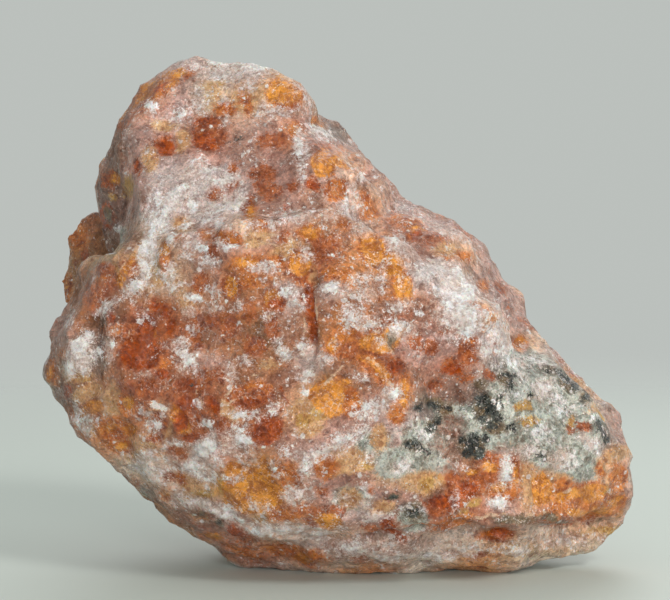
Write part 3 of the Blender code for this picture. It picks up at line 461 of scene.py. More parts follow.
                       (199, 475, 5, 4, 0), (241, 415, 7, 4, 0), (255, 416, 8, 4, 0), (238, 428, 5, 5, 0),
                       (244, 440, 9, 4, -15), (146, 415, 6, 5, 0), (152, 425, 7, 6, 0), (175, 443, 6, 3, 0),
                       (166, 446, 3, 3, 0), (150, 455, 13, 4, 0), (150, 469, 9, 4, 0), (133, 467, 7, 5, 0),
                       (78, 410, 5, 7, 0), (80, 421, 8, 5, 0), (215, 508, 17, 6, -20), (192, 503, 12, 4, 0),
                       (228, 512, 9, 9, -30), (260, 526, 10, 4, -20), (252, 508, 7, 4, 0), (268, 506, 4, 4, 0),
                       (283, 531, 14, 4, 5), (276, 466, 3, 8, 0), (292, 494, 9, 4, 20), (285, 453, 7, 4, 0),
                       (200, 405, 3, 4, 0), (162, 415, 4, 3, -20), (228, 478, 9, 3, 0), (298, 458, 4, 3, 0),
                       (213, 478, 5, 5, 0), (88, 432, 5, 5, 0), (183, 470, 4, 4, 0), (220, 462, 4, 6, 0)],
        "lower right": [(505, 470, 7, 14, 0), (500, 503, 9, 6, 0),
                        (336, 527, 5, 2, 0), (369, 458, 4, 5, 0), (365, 487, 5, 6, 0), (423, 511, 4, 4, 0),
                        (375, 517, 14, 4, 0), (352, 545, 18, 7, 0), (388, 555, 16, 5, 0), (600, 450, 5, 6, 0),
                        (425, 435, 9, 6, 20), (408, 428, 8, 5, 0), (400, 468, 6, 5, 0), (437, 556, 18, 4, 0),
                        (515, 550, 16, 4, 0), (345, 500, 8, 4, 0), (455, 502, 2, 5, 0), (462, 467, 6, 4, 0),
                        (530, 452, 6, 4, 0), (322, 535, 12, 4, 0), (300, 530, 8, 4, 0), (605, 434, 3, 6, 30)],
    },
    "snow": {
        "crown": [(160, 222, 4, 9, 20), (183, 226, 8, 3, 30), (172, 240, 3, 7, -30), (165, 213, 7, 4, 30), (176, 192, 9, 4, 30), (222, 180, 10, 4, 25), (236, 204, 6, 6, 0),
                  (208, 221, 8, 3, 0), (190, 205, 4, 6, 0), (160, 200, 3, 8, 0), (258, 66, 12, 3, -10),
                  (222, 66, 14, 3, 5), (347, 202, 2, 8, 0), (362, 176, 3, 7, -20), (306, 88, 6, 3, -50),
                  (152, 106, 5, 3, 30), (178, 115, 6, 2, 0), (322, 131, 10, 4, -25), (300, 150, 3, 10, 0)],
        "left": [(152, 232, 5, 9, 10), (147, 248, 7, 10, 0), (143, 268, 5, 10, 15), (136, 286, 4, 8, 20),
                 (184, 358, 3, 8, 40), (80, 346, 8, 10, 0), (70, 366, 6, 5, 0), (87, 335, 5, 4, 0), (195, 298, 10, 4, 0),
                 (205, 249, 7, 5, 0), (229, 247, 8, 3, 0), (141, 321, 3, 3, 0), (118, 231, 5, 4, 0), (98, 352, 3, 5, 0)],
        "middle": [(397, 238, 6, 4, 0), (330, 288, 10, 5, 0), (295, 303, 5, 4, 0), (288, 292, 7, 3, 0),
                   (303, 345, 5, 4, 0), (305, 373, 5, 4, 0), (285, 355, 6, 3, 0), (394, 396, 5, 4, 0),
                   (365, 405, 8, 3, 30), (350, 438, 9, 3, 12), (322, 452, 8, 3, 25), (305, 466, 3, 7, 0), (420, 313, 4, 3, 0)],
        "shoulder": [(456, 276, 8, 10, 0), (463, 294, 11, 10, 0), (467, 314, 9, 11, 0), (464, 329, 7, 6, 0),
                     (440, 270, 10, 4, -10), (450, 306, 6, 5, 0), (488, 352, 5, 4, 0), (505, 347, 6, 3, -30),
                     (545, 388, 6, 4, -45), (520, 364, 8, 3, -15), (592, 447, 6, 4, 0), (560, 410, 3, 4, 0)],
        "lower": [(206, 449, 9, 8, 0), (194, 465, 7, 5, 0), (208, 424, 5, 4, 0), (241, 415, 6, 3, 0),
                  (246, 440, 6, 3, 0), (244, 429, 4, 3, 0), (272, 412, 5, 3, 0), (158, 425, 4, 4, 0), (180, 445, 4, 3, 0),
                  (140, 472, 7, 3, 0), (217, 512, 9, 4, -25), (259, 532, 9, 4, -15), (240, 520, 8, 4, -25),
                  (505, 470, 5, 12, 0), (500, 503, 7, 5, 0), (228, 508, 5, 3, -25), (82, 418, 4, 4, 0), (352, 545, 9, 3, 0)],
    },
    "black": {
        "matrix": [(416, 446, 7, 5, -20), (408, 447, 6, 4, 0), (432, 427, 7, 5, 40), (438, 420, 5, 4, 0),
                   (472, 445, 9, 8, 0), (478, 453, 7, 6, 0), (467, 452, 6, 5, 0), (482, 402, 8, 7, 0),
                   (491, 409, 8, 9, 0), (484, 418, 5, 6, 0), (497, 403, 6, 5, 0), (497, 418, 6, 5, 0),
                   (512, 428, 6, 5, 0), (434, 406, 8, 4, -10), (506, 373, 4, 4, 0), (509, 383, 4, 5, 0),
                   (530, 396, 3, 4, 0), (540, 456, 5, 4, 0), (574, 386, 4, 5, 0), (586, 397, 3, 5, -30),
                   (601, 428, 5, 9, 15), (606, 438, 4, 6, 0), (395, 499, 7, 4, 0), (558, 375, 6, 3, -20),
                   (545, 372, 4, 3, -20), (413, 516, 5, 6, 0), (192, 386, 3, 3, 0), (501, 395, 5, 3, 0),
                   (515, 375, 4, 3, 0), (530, 368, 3, 3, 0), (567, 378, 4, 4, 0), (474, 437, 6, 5, 0),
                   (238, 139, 5, 2, 30), (419, 408, 4, 3, 0), (217, 523, 3, 2, 0), (492, 428, 6, 5, 0),
                   (462, 440, 4, 4, 0), (486, 440, 5, 5, 0), (448, 410, 4, 3, 0), (424, 452, 3, 2, 0)],
    },
    # Painted highlights: small white glints painted where facets catch the light
    "glint": {
        "crown": [(235, 207, 4, 3, 0), (228, 203, 2, 2, 0), (240, 201, 2, 2, 0), (212, 127, 2, 2, 0)],
        "left": [(114, 346, 2, 4, 0), (189, 362, 2, 9, -50), (160, 406, 8, 3, -25), (156, 403, 3, 3, 0),
                 (225, 300, 2, 2, 0), (213, 450, 2, 3, 0), (264, 447, 3, 2, 0), (278, 468, 2, 2, 0)],
        "middle": [(305, 394, 5, 3, 0), (288, 293, 3, 2, 0), (304, 297, 2, 3, 0), (332, 255, 2, 2, 0),
                   (412, 322, 2, 2, 0), (397, 392, 3, 4, 0), (383, 400, 2, 2, 0), (288, 380, 2, 3, -30)],
        "right": [(497, 350, 4, 2, 0), (593, 418, 2, 6, -25), (492, 401, 3, 2, 0), (499, 405, 2, 4, 0),
                  (554, 493, 2, 2, 0), (417, 449, 1.5, 1.5, 0), (475, 449, 2, 2, 0)],
    },
}

# Lines on the same side: their half width in pixels, and the pixels that they run through
LINES = {
    "chalk": {
        "crown": [(4, (215, 165), (195, 180), (175, 198), (160, 215)), (3, (165, 190), (205, 200), (240, 207)),
                  (3, (152, 172), (150, 200), (148, 225)), (3, (180, 205), (205, 215), (225, 226)),
                  (2.5, (205, 160), (222, 172), (232, 186)), (3, (190, 66), (215, 62), (245, 62), (268, 66)),
                  (2, (135, 110), (128, 128), (120, 150)), (2.5, (216, 178), (224, 196), (218, 212)),
                  (3, (300, 108), (308, 140), (305, 175)), (3, (345, 150), (352, 160), (360, 175)),
                  (2, (296, 84), (310, 90), (316, 97)), (3, (190, 160), (200, 175), (212, 185))],
        "left": [(6, (157, 213), (150, 235), (145, 258), (138, 290)), (2, (105, 260), (96, 268), (88, 278)),
                 (3, (170, 226), (184, 240), (196, 250)), (2.5, (150, 262), (164, 278), (176, 290)),
                 (2.5, (200, 226), (214, 234), (222, 246)), (2, (132, 300), (140, 314), (150, 322)),
                 (3, (182, 353), (190, 362), (195, 370)), (3, (118, 297), (110, 308), (100, 318))],
        "middle": [(2.5, (388, 243), (385, 262), (382, 275), (384, 292)), (3, (390, 240), (415, 262), (420, 270)),
                   (2, (268, 318), (272, 312)), (4, (365, 432), (340, 441), (320, 455), (302, 468), (300, 485))],
        "shoulder": [(2, (425, 222), (445, 231), (462, 240)), (2.5, (450, 345), (462, 338), (470, 333)),
                     (3, (405, 262), (430, 268), (452, 278)), (3, (500, 320), (520, 342), (540, 356)),
                     (3, (484, 340), (492, 348), (500, 360), (512, 368))],
        "lower left": [(5, (180, 500), (215, 508), (238, 521), (262, 531)), (2, (243, 462), (243, 476), (233, 482)),
                       (2, (225, 478), (240, 480)), (3, (205, 450), (196, 460), (192, 468))],
    },
    "pale": {
        "crown": [(1.3, (328, 176), (340, 171), (352, 175), (358, 183)), (1, (252, 86), (256, 96), (254, 110)),
                  (1, (240, 90), (242, 104), (238, 116))],
        "left": [(1.3, (222, 402), (232, 383), (257, 373), (278, 368)), (1, (222, 405), (235, 400), (246, 396)),
                 (1, (194, 385), (202, 400), (209, 415)), (1, (135, 250), (128, 258), (118, 270)),
                 (1, (128, 330), (132, 345), (128, 360)), (1, (100, 425), (118, 417), (136, 418))],
        "middle": [(1.3, (258, 236), (280, 246), (300, 255)), (1, (262, 230), (285, 236), (302, 244)),
                   (1, (315, 292), (317, 340), (321, 356)), (1, (372, 322), (385, 343), (400, 365)),
                   (1, (270, 314), (268, 330)), (1, (304, 318), (303, 334)), (1.3, (345, 352), (372, 362), (398, 392)),
                   (1, (364, 232), (366, 246), (362, 262)), (1, (372, 230), (375, 246), (374, 262)),
                   (1, (312, 256), (310, 270), (313, 284)), (1, (398, 270), (400, 286), (404, 300)),
                   (1.3, (320, 388), (332, 378), (342, 366))],
        "lower left": [(1, (250, 505), (262, 492), (272, 480)), (1, (257, 472), (268, 462)),
                       (1, (270, 470), (284, 489), (300, 501)), (1.3, (292, 460), (298, 474), (303, 488)),
                       (1, (310, 482), (322, 471)), (1, (320, 491), (340, 472)), (1, (245, 500), (256, 516)),
                       (1, (262, 516), (280, 505), (300, 499))],
        "lower right": [(1, (521, 465), (519, 488), (525, 509)), (1, (529, 465), (528, 485), (538, 505)),
                        (1, (547, 472), (553, 490), (545, 503)), (1, (536, 478), (541, 500)),
                        (1.3, (546, 505), (562, 496), (582, 486), (597, 480)), (1, (392, 516), (398, 526), (408, 541)),
                        (1.3, (364, 510), (380, 514), (392, 517)), (1, (445, 522), (435, 535)),
                        (1, (451, 440), (456, 446)), (1, (508, 432), (511, 446)), (1, (466, 384), (478, 396)),
                        (1.3, (470, 521), (500, 513), (540, 513), (590, 522), (612, 521))],
    },
    "deep": {
        # Down the slot: painted shade in its crack, in the stone's deep amber
        "middle": [(5, (310, 290), (312, 312), (313, 340)), (2, (313, 340), (316, 356))],
        # Dark lines in the creases under the lips and ledges: painted shade
        "rims": [(3, (127, 478), (140, 491), (152, 501), (162, 507)), (3, (185, 524), (210, 530), (236, 540), (262, 552)),
                 (2, (280, 388), (288, 402)), (3, (440, 507), (462, 505))],
    },
    "olive": {
        # Painted shade: a dark line in the crease under the right lip
        "under the lip": [(4, (500, 520), (525, 517), (550, 519), (600, 524))],
        "right rim": [(3, (598, 414), (608, 428), (617, 442))],
    },
    "amber": {
        "crown": [(4, (119, 118), (135, 100), (150, 88), (166, 79), (182, 71))],
        "left": [(3, (136, 250), (128, 264), (120, 284))],
        "lower right": [(3, (575, 498), (600, 488))],
    },
    "rust": {
        "rim": [(4, (455, 225), (466, 232), (478, 241)), (3, (60, 300), (66, 280), (72, 262))],
    },
}


# Minerals, from the ground up, the last of them the painted glints, which are painted highlights:
# light and dark tone, how ragged and how soft their edges are in millimetres, roughness, and how
# their tone follows the mottle, specks, streaks and crystals
Mineral = namedtuple("Mineral", "light dark ragged soft rough mottle specks streaks crystals veil", defaults=[1])
GROUND = Mineral((210, 160, 134), (156, 100, 74), 0, 0, 0.38, 0.9, 0.9, 0.5, 0.9)
MINERALS = {
    "matrix": Mineral((204, 204, 192), (138, 138, 126), 1.2, 0.2, 0.36, 0.6, 1.0, 0.3, 1.0),
    "mauve": Mineral((186, 136, 114), (130, 82, 62), 1.0, 0.3, 0.26, 0.8, 0.7, 0.3, 0.7, 0.4),
    "tan": Mineral((232, 184, 136), (190, 134, 84), 1.0, 0.22, 0.34, 0.6, 0.7, 0.8, 0.7),
    "yellow": Mineral((222, 176, 104), (180, 126, 52), 0.8, 0.15, 0.3, 0.7, 0.6, 0.6, 0.6),
    "orange": Mineral((226, 138, 64), (170, 82, 24), 0.9, 0.2, 0.26, 0.7, 0.7, 1.0, 0.7),
    "rust": Mineral((198, 112, 62), (142, 66, 26), 1.2, 0.14, 0.24, 0.7, 1.0, 0.6, 0.9),
    "amber": Mineral((230, 150, 48), (158, 84, 8), 0.6, 0.1, 0.14, 1.0, 0.9, 0.9, 0.9),
    "deep": Mineral((196, 88, 10), (130, 50, 0), 0.6, 0.12, 0.16, 0.7, 0.8, 0.6, 0.8),
    "olive": Mineral((144, 120, 90), (92, 74, 52), 0.9, 0.18, 0.35, 0.5, 1.0, 0.2, 0.8),
    "cream": Mineral((230, 204, 190), (196, 160, 146), 1.3, 0.3, 0.46, 0.6, 1.0, 0.5, 0.9, 0.4),
    "chalk": Mineral((252, 244, 242), (214, 198, 194), 1.7, 0.2, 0.62, 0.4, 1.2, 0.2, 0.8, 0.35),
    "snow": Mineral((255, 253, 252), (234, 224, 220), 0.8, 0.1, 0.5, 0.5, 1.0, 0.3, 0.9),
    "black": Mineral((84, 86, 78), (18, 22, 20), 0.9, 0.08, 0.25, 0.8, 1.6, 0.0, 1.4),
    "pale": Mineral((236, 204, 176), (208, 166, 132), 0.35, 0.06, 0.4, 0.3, 0.6, 0.2, 0.3),
    # The glints are painted highlights, white spots where facets catch the light, not a mineral
    "glint": Mineral((255, 253, 250), (240, 232, 224), 0.4, 0.04, 0.1, 0.2, 0.8, 0.0, 0.6),
}
DUST = Mineral((244, 234, 230), (206, 188, 180), 0, 0, 0.7, 0.4, 1.0, 0.0, 0.6)
PIT_SHADE = (0.74, 0.64, 0.6)  # How much the painted shade of a pit darkens the colour
REACH = 1.5  # How far off a patch its mark is still known, in millimetres
DEEP_AS_WIDE = 5.0
WANDER = ((1.7, 0.26), (0.65, 0.13))  # Sizes and strengths of the bends in the patches' edges

WASH_STRENGTH = 0.85
WASH_SOFT = 0.8  # Of its smaller half size

# Patches on the sides that the photograph hides: share of each mineral, and sizes in millimetres
SCATTERED = 420
SCATTER_SHARES = {"matrix": 3, "mauve": 9, "tan": 9, "yellow": 4, "orange": 14, "rust": 18, "amber": 13, "deep": 6,
                  "olive": 2, "cream": 12, "chalk": 16, "snow": 3, "black": 2}
SCATTER_SIZE = (0.4, 1.9)
BLACK_SIZE = (0.2, 0.5)
SCATTER_SEED = 7
STRAY = 2.6  # How much more their edges wander than those of the patches above
SPILL = 12.0  # Millimetres by which a patch shrinks where the skin turns to the viewer
SCATTERED_WASHES = 150
SCATTER_TINTS = {"rose": 6, "pink": 6, "frost": 5, "peach": 5, "orange": 6, "ochre": 3, "amber": 3, "rust": 6,
                 "russet": 5, "brown": 3, "grey": 2, "ash": 2, "sand": 4}
WASH_SIZE = (1.2, 3.6)


# The marks
def view_points(points):
    """The points in millimetres to the right, down and away, as the picture shows them."""
    pixels, depth = as_seen(points)
    return np.column_stack([pixels * PIXEL, depth])


def inside(points, middle, axes, halves):
    """How far each point is inside an ellipsoid, in millimetres. It is below 0 outside."""
    local = (points - middle) @ np.array(axes).T / halves
    return (1 - np.sqrt((local**2).sum(axis=1))) * min(halves)


def along(points, a, b, half):
    """How far each point is inside a round bar from a to b, in millimetres. It is below 0 outside."""
    bar = b - a
    part = np.clip((points - a) @ bar / (bar @ bar), 0, 1)
    return half - np.linalg.norm(points - a - part[:, None] * bar, axis=1)


class Marks:
    """For each mineral, how far every point of the skin is inside its patches."""

    def __init__(self, points, normals):
        bends = sum(strength * bend(points, size) for size, strength in WANDER)
        self.points = points + STRAY * bends
        self.seen = view_points(points) + bends
        self.facing = shown(points, normals)
        self.fields = {name: np.full(len(points), -REACH) for name in MINERALS}
        self.ground = np.tile(linear(TINTS["rose"])[:3], (len(points), 1))
        self.front = np.flatnonzero(self.facing > 0.08)

    def on_skin(self, pixel):
        """The place on the skin that the picture shows at a pixel."""
        flat = self.seen[self.front]
        target = np.array(pixel) * PIXEL
        off = np.linalg.norm(flat[:, :2] - target, axis=1)
        near = off < max(0.35, off.min() + 0.05)
        return np.array([*target, flat[near, 2].min()])

    def patch_shape(self, x, y, half_width, half_height, turn):
        """How far each point is inside the patch at a pixel of the picture, in millimetres."""
        turn = math.radians(turn)
        axes = [(math.cos(turn), -math.sin(turn), 0), (math.sin(turn), math.cos(turn), 0), (0, 0, 1)]
        halves = np.array([half_width, half_height, DEEP_AS_WIDE * max(half_width, half_height)]) * PIXEL
        return inside(self.seen, self.on_skin((x, y)), axes, halves), min(halves)

    def swell(self, x, y, half_width, half_height, turn, reach, move):
        """How far each point moves towards the viewer at a swell."""
        turn = math.radians(turn)
        axes = [(math.cos(turn), -math.sin(turn), 0), (math.sin(turn), math.cos(turn), 0), (0, 0, 1)]
        halves = np.array([half_width * PIXEL, half_height * PIXEL, reach])
        field = inside(self.seen, self.on_skin((x, y)), axes, halves)
        return move * smooth(-0.5 * min(halves), 0.8 * min(halves), field)

    def scattered_shape(self, dice, sizes, hidden):
        """The same for a patch of chance size and turn on the hidden sides."""
        halves = dice.uniform(*sizes) * dice.uniform(0.4, 1.7, 3)
        axes, _ = np.linalg.qr(dice.normal(size=(3, 3)))
        return inside(self.points, self.points[dice.choice(hidden)], axes, halves), min(halves)

    def wash(self, tint, shape):
        field, half = shape
        cover = WASH_STRENGTH * smooth(-WASH_SOFT * half, WASH_SOFT * half, field)[:, None]
        self.ground += cover * (np.array(linear(TINTS[tint])[:3]) - self.ground)

    def add(self, name, field):
        np.maximum(self.fields[name], field, out=self.fields[name])

    def line(self, name, half, pixels):
        places = [self.on_skin(pixel) for pixel in pixels]
        for a, b in zip(places, places[1:]):
            self.add(name, along(self.seen, a, b, half * PIXEL))

    def scatter(self):
        """Patches and tints strewn over the sides that the photograph hides."""
        dice = np.random.default_rng(SCATTER_SEED)
        hidden = np.flatnonzero(self.facing < 0.06)
        for tint in chances(dice, SCATTER_TINTS, SCATTERED_WASHES):
            self.wash(tint, self.scattered_shape(dice, WASH_SIZE, hidden))
        for name in chances(dice, SCATTER_SHARES, SCATTERED):
            sizes = BLACK_SIZE if name == "black" else SCATTER_SIZE
            self.add(name, self.scattered_shape(dice, sizes, hidden)[0] - SPILL * np.maximum(0, self.facing - 0.06))

    def all(self):
        for washes in WASHES.values():
            for tint, *place in washes:
                self.wash(tint, self.patch_shape(*place))
        for name, regions in PATCHES.items():
            for patches in regions.values():
                for patch in patches:
                    self.add(name, self.patch_shape(*patch)[0])
        for name, regions in LINES.items():
            for lines in regions.values():
                for half, *pixels in lines:
                    self.line(name, half, pixels)
        self.scatter()
        return self.fields


def chances(dice, shares, count):
    """Names picked by chance, each by its share."""
    weights = np.array(list(shares.values()), float)
    return [list(shares)[i] for i in dice.choice(len(shares), count, p=weights / weights.sum())]


def smooth(low, high, values):
    part = np.clip((values - low) / (high - low), 0, 1)
    return part * part * (3 - 2 * part)


def bend(points, size):
    """An even wandering vector at each point."""
    return np.array([noise.noise_vector(Vector(point) / size) for point in points])


def crumbs(points, size, octaves):
    """Rough noise from about -1 to 1 at each point."""
    return np.array([noise.fractal(Vector(point) / size, 0.9, 2.1, octaves) for point in points])


# The stone
RAISED = {"snow": 0.1, "chalk": 0.06, "cream": 0.03, "pale": 0.05, "glint": 0.02}
SUNK = {"amber": 0.07, "deep": 0.06, "rust": 0.03, "black": 0.05}
SMOOTH_FACES = {"amber": 0.8, "deep": 0.6, "mauve": 0.6, "rust": 0.35, "glint": 0.8}
CRUST_ROUGHNESS = 0.06
SLOT_DEPTH = 0.15
SLOT = ((309, 288), (311, 312), (312, 334), (315, 350))
SLOT_HALF = 5.0

# Swells towards the viewer that fill out the skin: patches as above, then how deep they reach and
# how far they move, in millimetres
SWELLS = {
    "between the lips": (372, 546, 58, 22, 0, 3.5, 1.5),
    "left saddle": (110, 252, 17, 15, 0, 3.0, 1.0),
    "under the crown": (232, 222, 62, 12, 9, 2.5, 0.7),
}


def dressed_skin(node):
    """The stone's skin with its fine grains, crust, windows and slot, and its minerals as attributes."""
    mesh = even_skin(node)
    finer_where_shown(mesh)
    points, normals = arrays(mesh)
    marks = Marks(points, normals)
    fields = marks.all()
    cover = {name: smooth(-0.1, 0.25, field) for name, field in fields.items()}
    flat = np.zeros(len(points))
    for name, share in SMOOTH_FACES.items():
        flat = np.maximum(flat, share * cover[name])
    height = np.zeros(len(points))
    for number, (size, lean, step) in enumerate(FINE_GRAINS):
        height += (1 - flat) * grains(points, size, lean, step, GRAIN_SEED + number)
    for name, rise in RAISED.items():
        height += rise * cover[name]
    for name, drop in SUNK.items():
        height -= drop * cover[name]
    height += CRUST_ROUGHNESS * (0.25 + cover["chalk"]) * (1 - flat) * crumbs(points, 0.7, 3)
    slot = Marks.__new__(Marks)
    slot.__dict__.update(marks.__dict__)
    slot.fields = {"slot": np.full(len(points), -REACH)}
    slot.line("slot", SLOT_HALF, SLOT)
    height -= SLOT_DEPTH * smooth(-0.05, SLOT_HALF * PIXEL, slot.fields["slot"])
    points = points + height[:, None] * normals
    for place in SWELLS.values():
        points[:, 1] -= marks.swell(*place)
    points[:, 2] = np.maximum(points[:, 2], 0)
    mesh.vertices.foreach_set("co", (points * MM).ravel())
    for name, field in fields.items():
        mesh.attributes.new(name, "FLOAT", "POINT").data.foreach_set("value", field.astype(np.float32))
    ground = np.column_stack([marks.ground, np.ones(len(points))]).astype(np.float32)
    mesh.attributes.new("ground", "FLOAT_COLOR", "POINT").data.foreach_set("color", ground.ravel())
    mesh.update()
    mesh.polygons.foreach_set("use_smooth", np.ones(len(mesh.polygons), bool))
    return mesh


# The material
class Signal:
    """An output of a material's node, on which + - * / add Math nodes."""

    def __init__(self, nodes, socket):
        self.nodes = nodes
        self.socket = socket

    def math(self, operation, *values):
        return self.nodes.add("ShaderNodeMath", {"operation": operation}, dict(enumerate(values)))

    def __add__(self, other):
        return self.math("ADD", self, other)

    __radd__ = __add__

    def __sub__(self, other):
        return self.math("SUBTRACT", self, other)

    def __rsub__(self, other):
        return self.math("SUBTRACT", other, self)

    def __mul__(self, other):
        return self.math("MULTIPLY", self, other)

    __rmul__ = __mul__


class Nodes:
    """The node tree of one material."""

    def __init__(self, name):
        self.material = bpy.data.materials.new(name)
        self.material.use_nodes = True
        self.tree = self.material.node_tree
        self.tree.nodes.clear()

    def add(self, kind, settings=None, inputs=None, output=None):
        """A node, from its type, its settings, and the values or links of its sockets."""
        node = self.tree.nodes.new(kind)
        for name, value in (settings or {}).items():
            setattr(node, name, value)
        for name, value in (inputs or {}).items():
            socket = node.inputs[name] if isinstance(name, int) else self.socket(node.inputs, name)
            if isinstance(value, Signal):
                self.tree.links.new(value.socket, socket)
            else:
                socket.default_value = value
        return Signal(self, self.socket(node.outputs, output)) if node.outputs else None

    @staticmethod
    def socket(sockets, name):
        return next(s for s in sockets if s.enabled and name in (None, s.name))

    def mix(self, part, a, b):
        return self.add("ShaderNodeMix", {"data_type": "RGBA"}, {"Factor": part, "A": a, "B": b})

    def blend(self, part, a, b):
        return self.add("ShaderNodeMix", {"data_type": "FLOAT"}, {"Factor": part, "A": a, "B": b})

    def vector(self, operation, *values, **named):
        inputs = dict(enumerate(values)) | named
        return self.add("ShaderNodeVectorMath", {"operation": operation}, inputs)

    def split(self, colour):
        parts = [self.add("ShaderNodeSeparateColor", {}, {"Color": colour}, "Red")]
        node = parts[0].socket.node
        return [Signal(self, output) for output in node.outputs]

    def step(self, value, low, high, bottom=0.0, top=1.0):
        """Rises softly from bottom to top as the value goes from low to high."""
        limits = {"From Min": low, "From Max": high, "To Min": bottom, "To Max": top}
        return self.add("ShaderNodeMapRange", {"interpolation_type": "SMOOTHSTEP"}, {"Value": value} | limits)

    def noise(self, where, scale, detail, roughness):
        """Three even noises, from about -0.5 to 0.5."""
        sockets = {"Vector": where, "Scale": scale, "Detail": detail, "Roughness": roughness}
        return [part - 0.5 for part in self.split(self.add("ShaderNodeTexNoise", {}, sockets, "Color"))]

    def crumbs(self, where, scale):
        """Round crumbs, one in each cell: a chance for each cell, and how far out of its middle a place is."""
        away = self.add("ShaderNodeTexVoronoi", {}, {"Vector": where, "Scale": scale, "Randomness": 1.0}, "Distance")
        colour = Signal(self, self.socket(away.socket.node.outputs, "Color"))
        return self.split(colour), away

    def grains(self, where, scale):
        """Grains of even size: three chances from -0.5 to 0.5, the height of their leaning faces, and their lean."""
        colour = self.add("ShaderNodeTexVoronoi", {}, {"Vector": where, "Scale": scale}, "Color")
        middle = Signal(self, self.socket(colour.socket.node.outputs, "Position"))
        lean = self.vector("SUBTRACT", colour, (0.5, 0.5, 0.5))
        off = self.vector("SUBTRACT", where, middle)
        height = self.add("ShaderNodeVectorMath", {"operation": "DOT_PRODUCT"}, {0: lean, 1: off}, "Value")
        return [part - 0.5 for part in self.split(colour)], height, lean


def linear(colour):
    """A colour of the picture, from 0 to 255, as a shader holds it."""
    parts = [value / 255 for value in colour]
    return (*(p / 12.92 if p <= 0.04045 else ((p + 0.055) / 1.055) ** 2.4 for p in parts), 1.0)


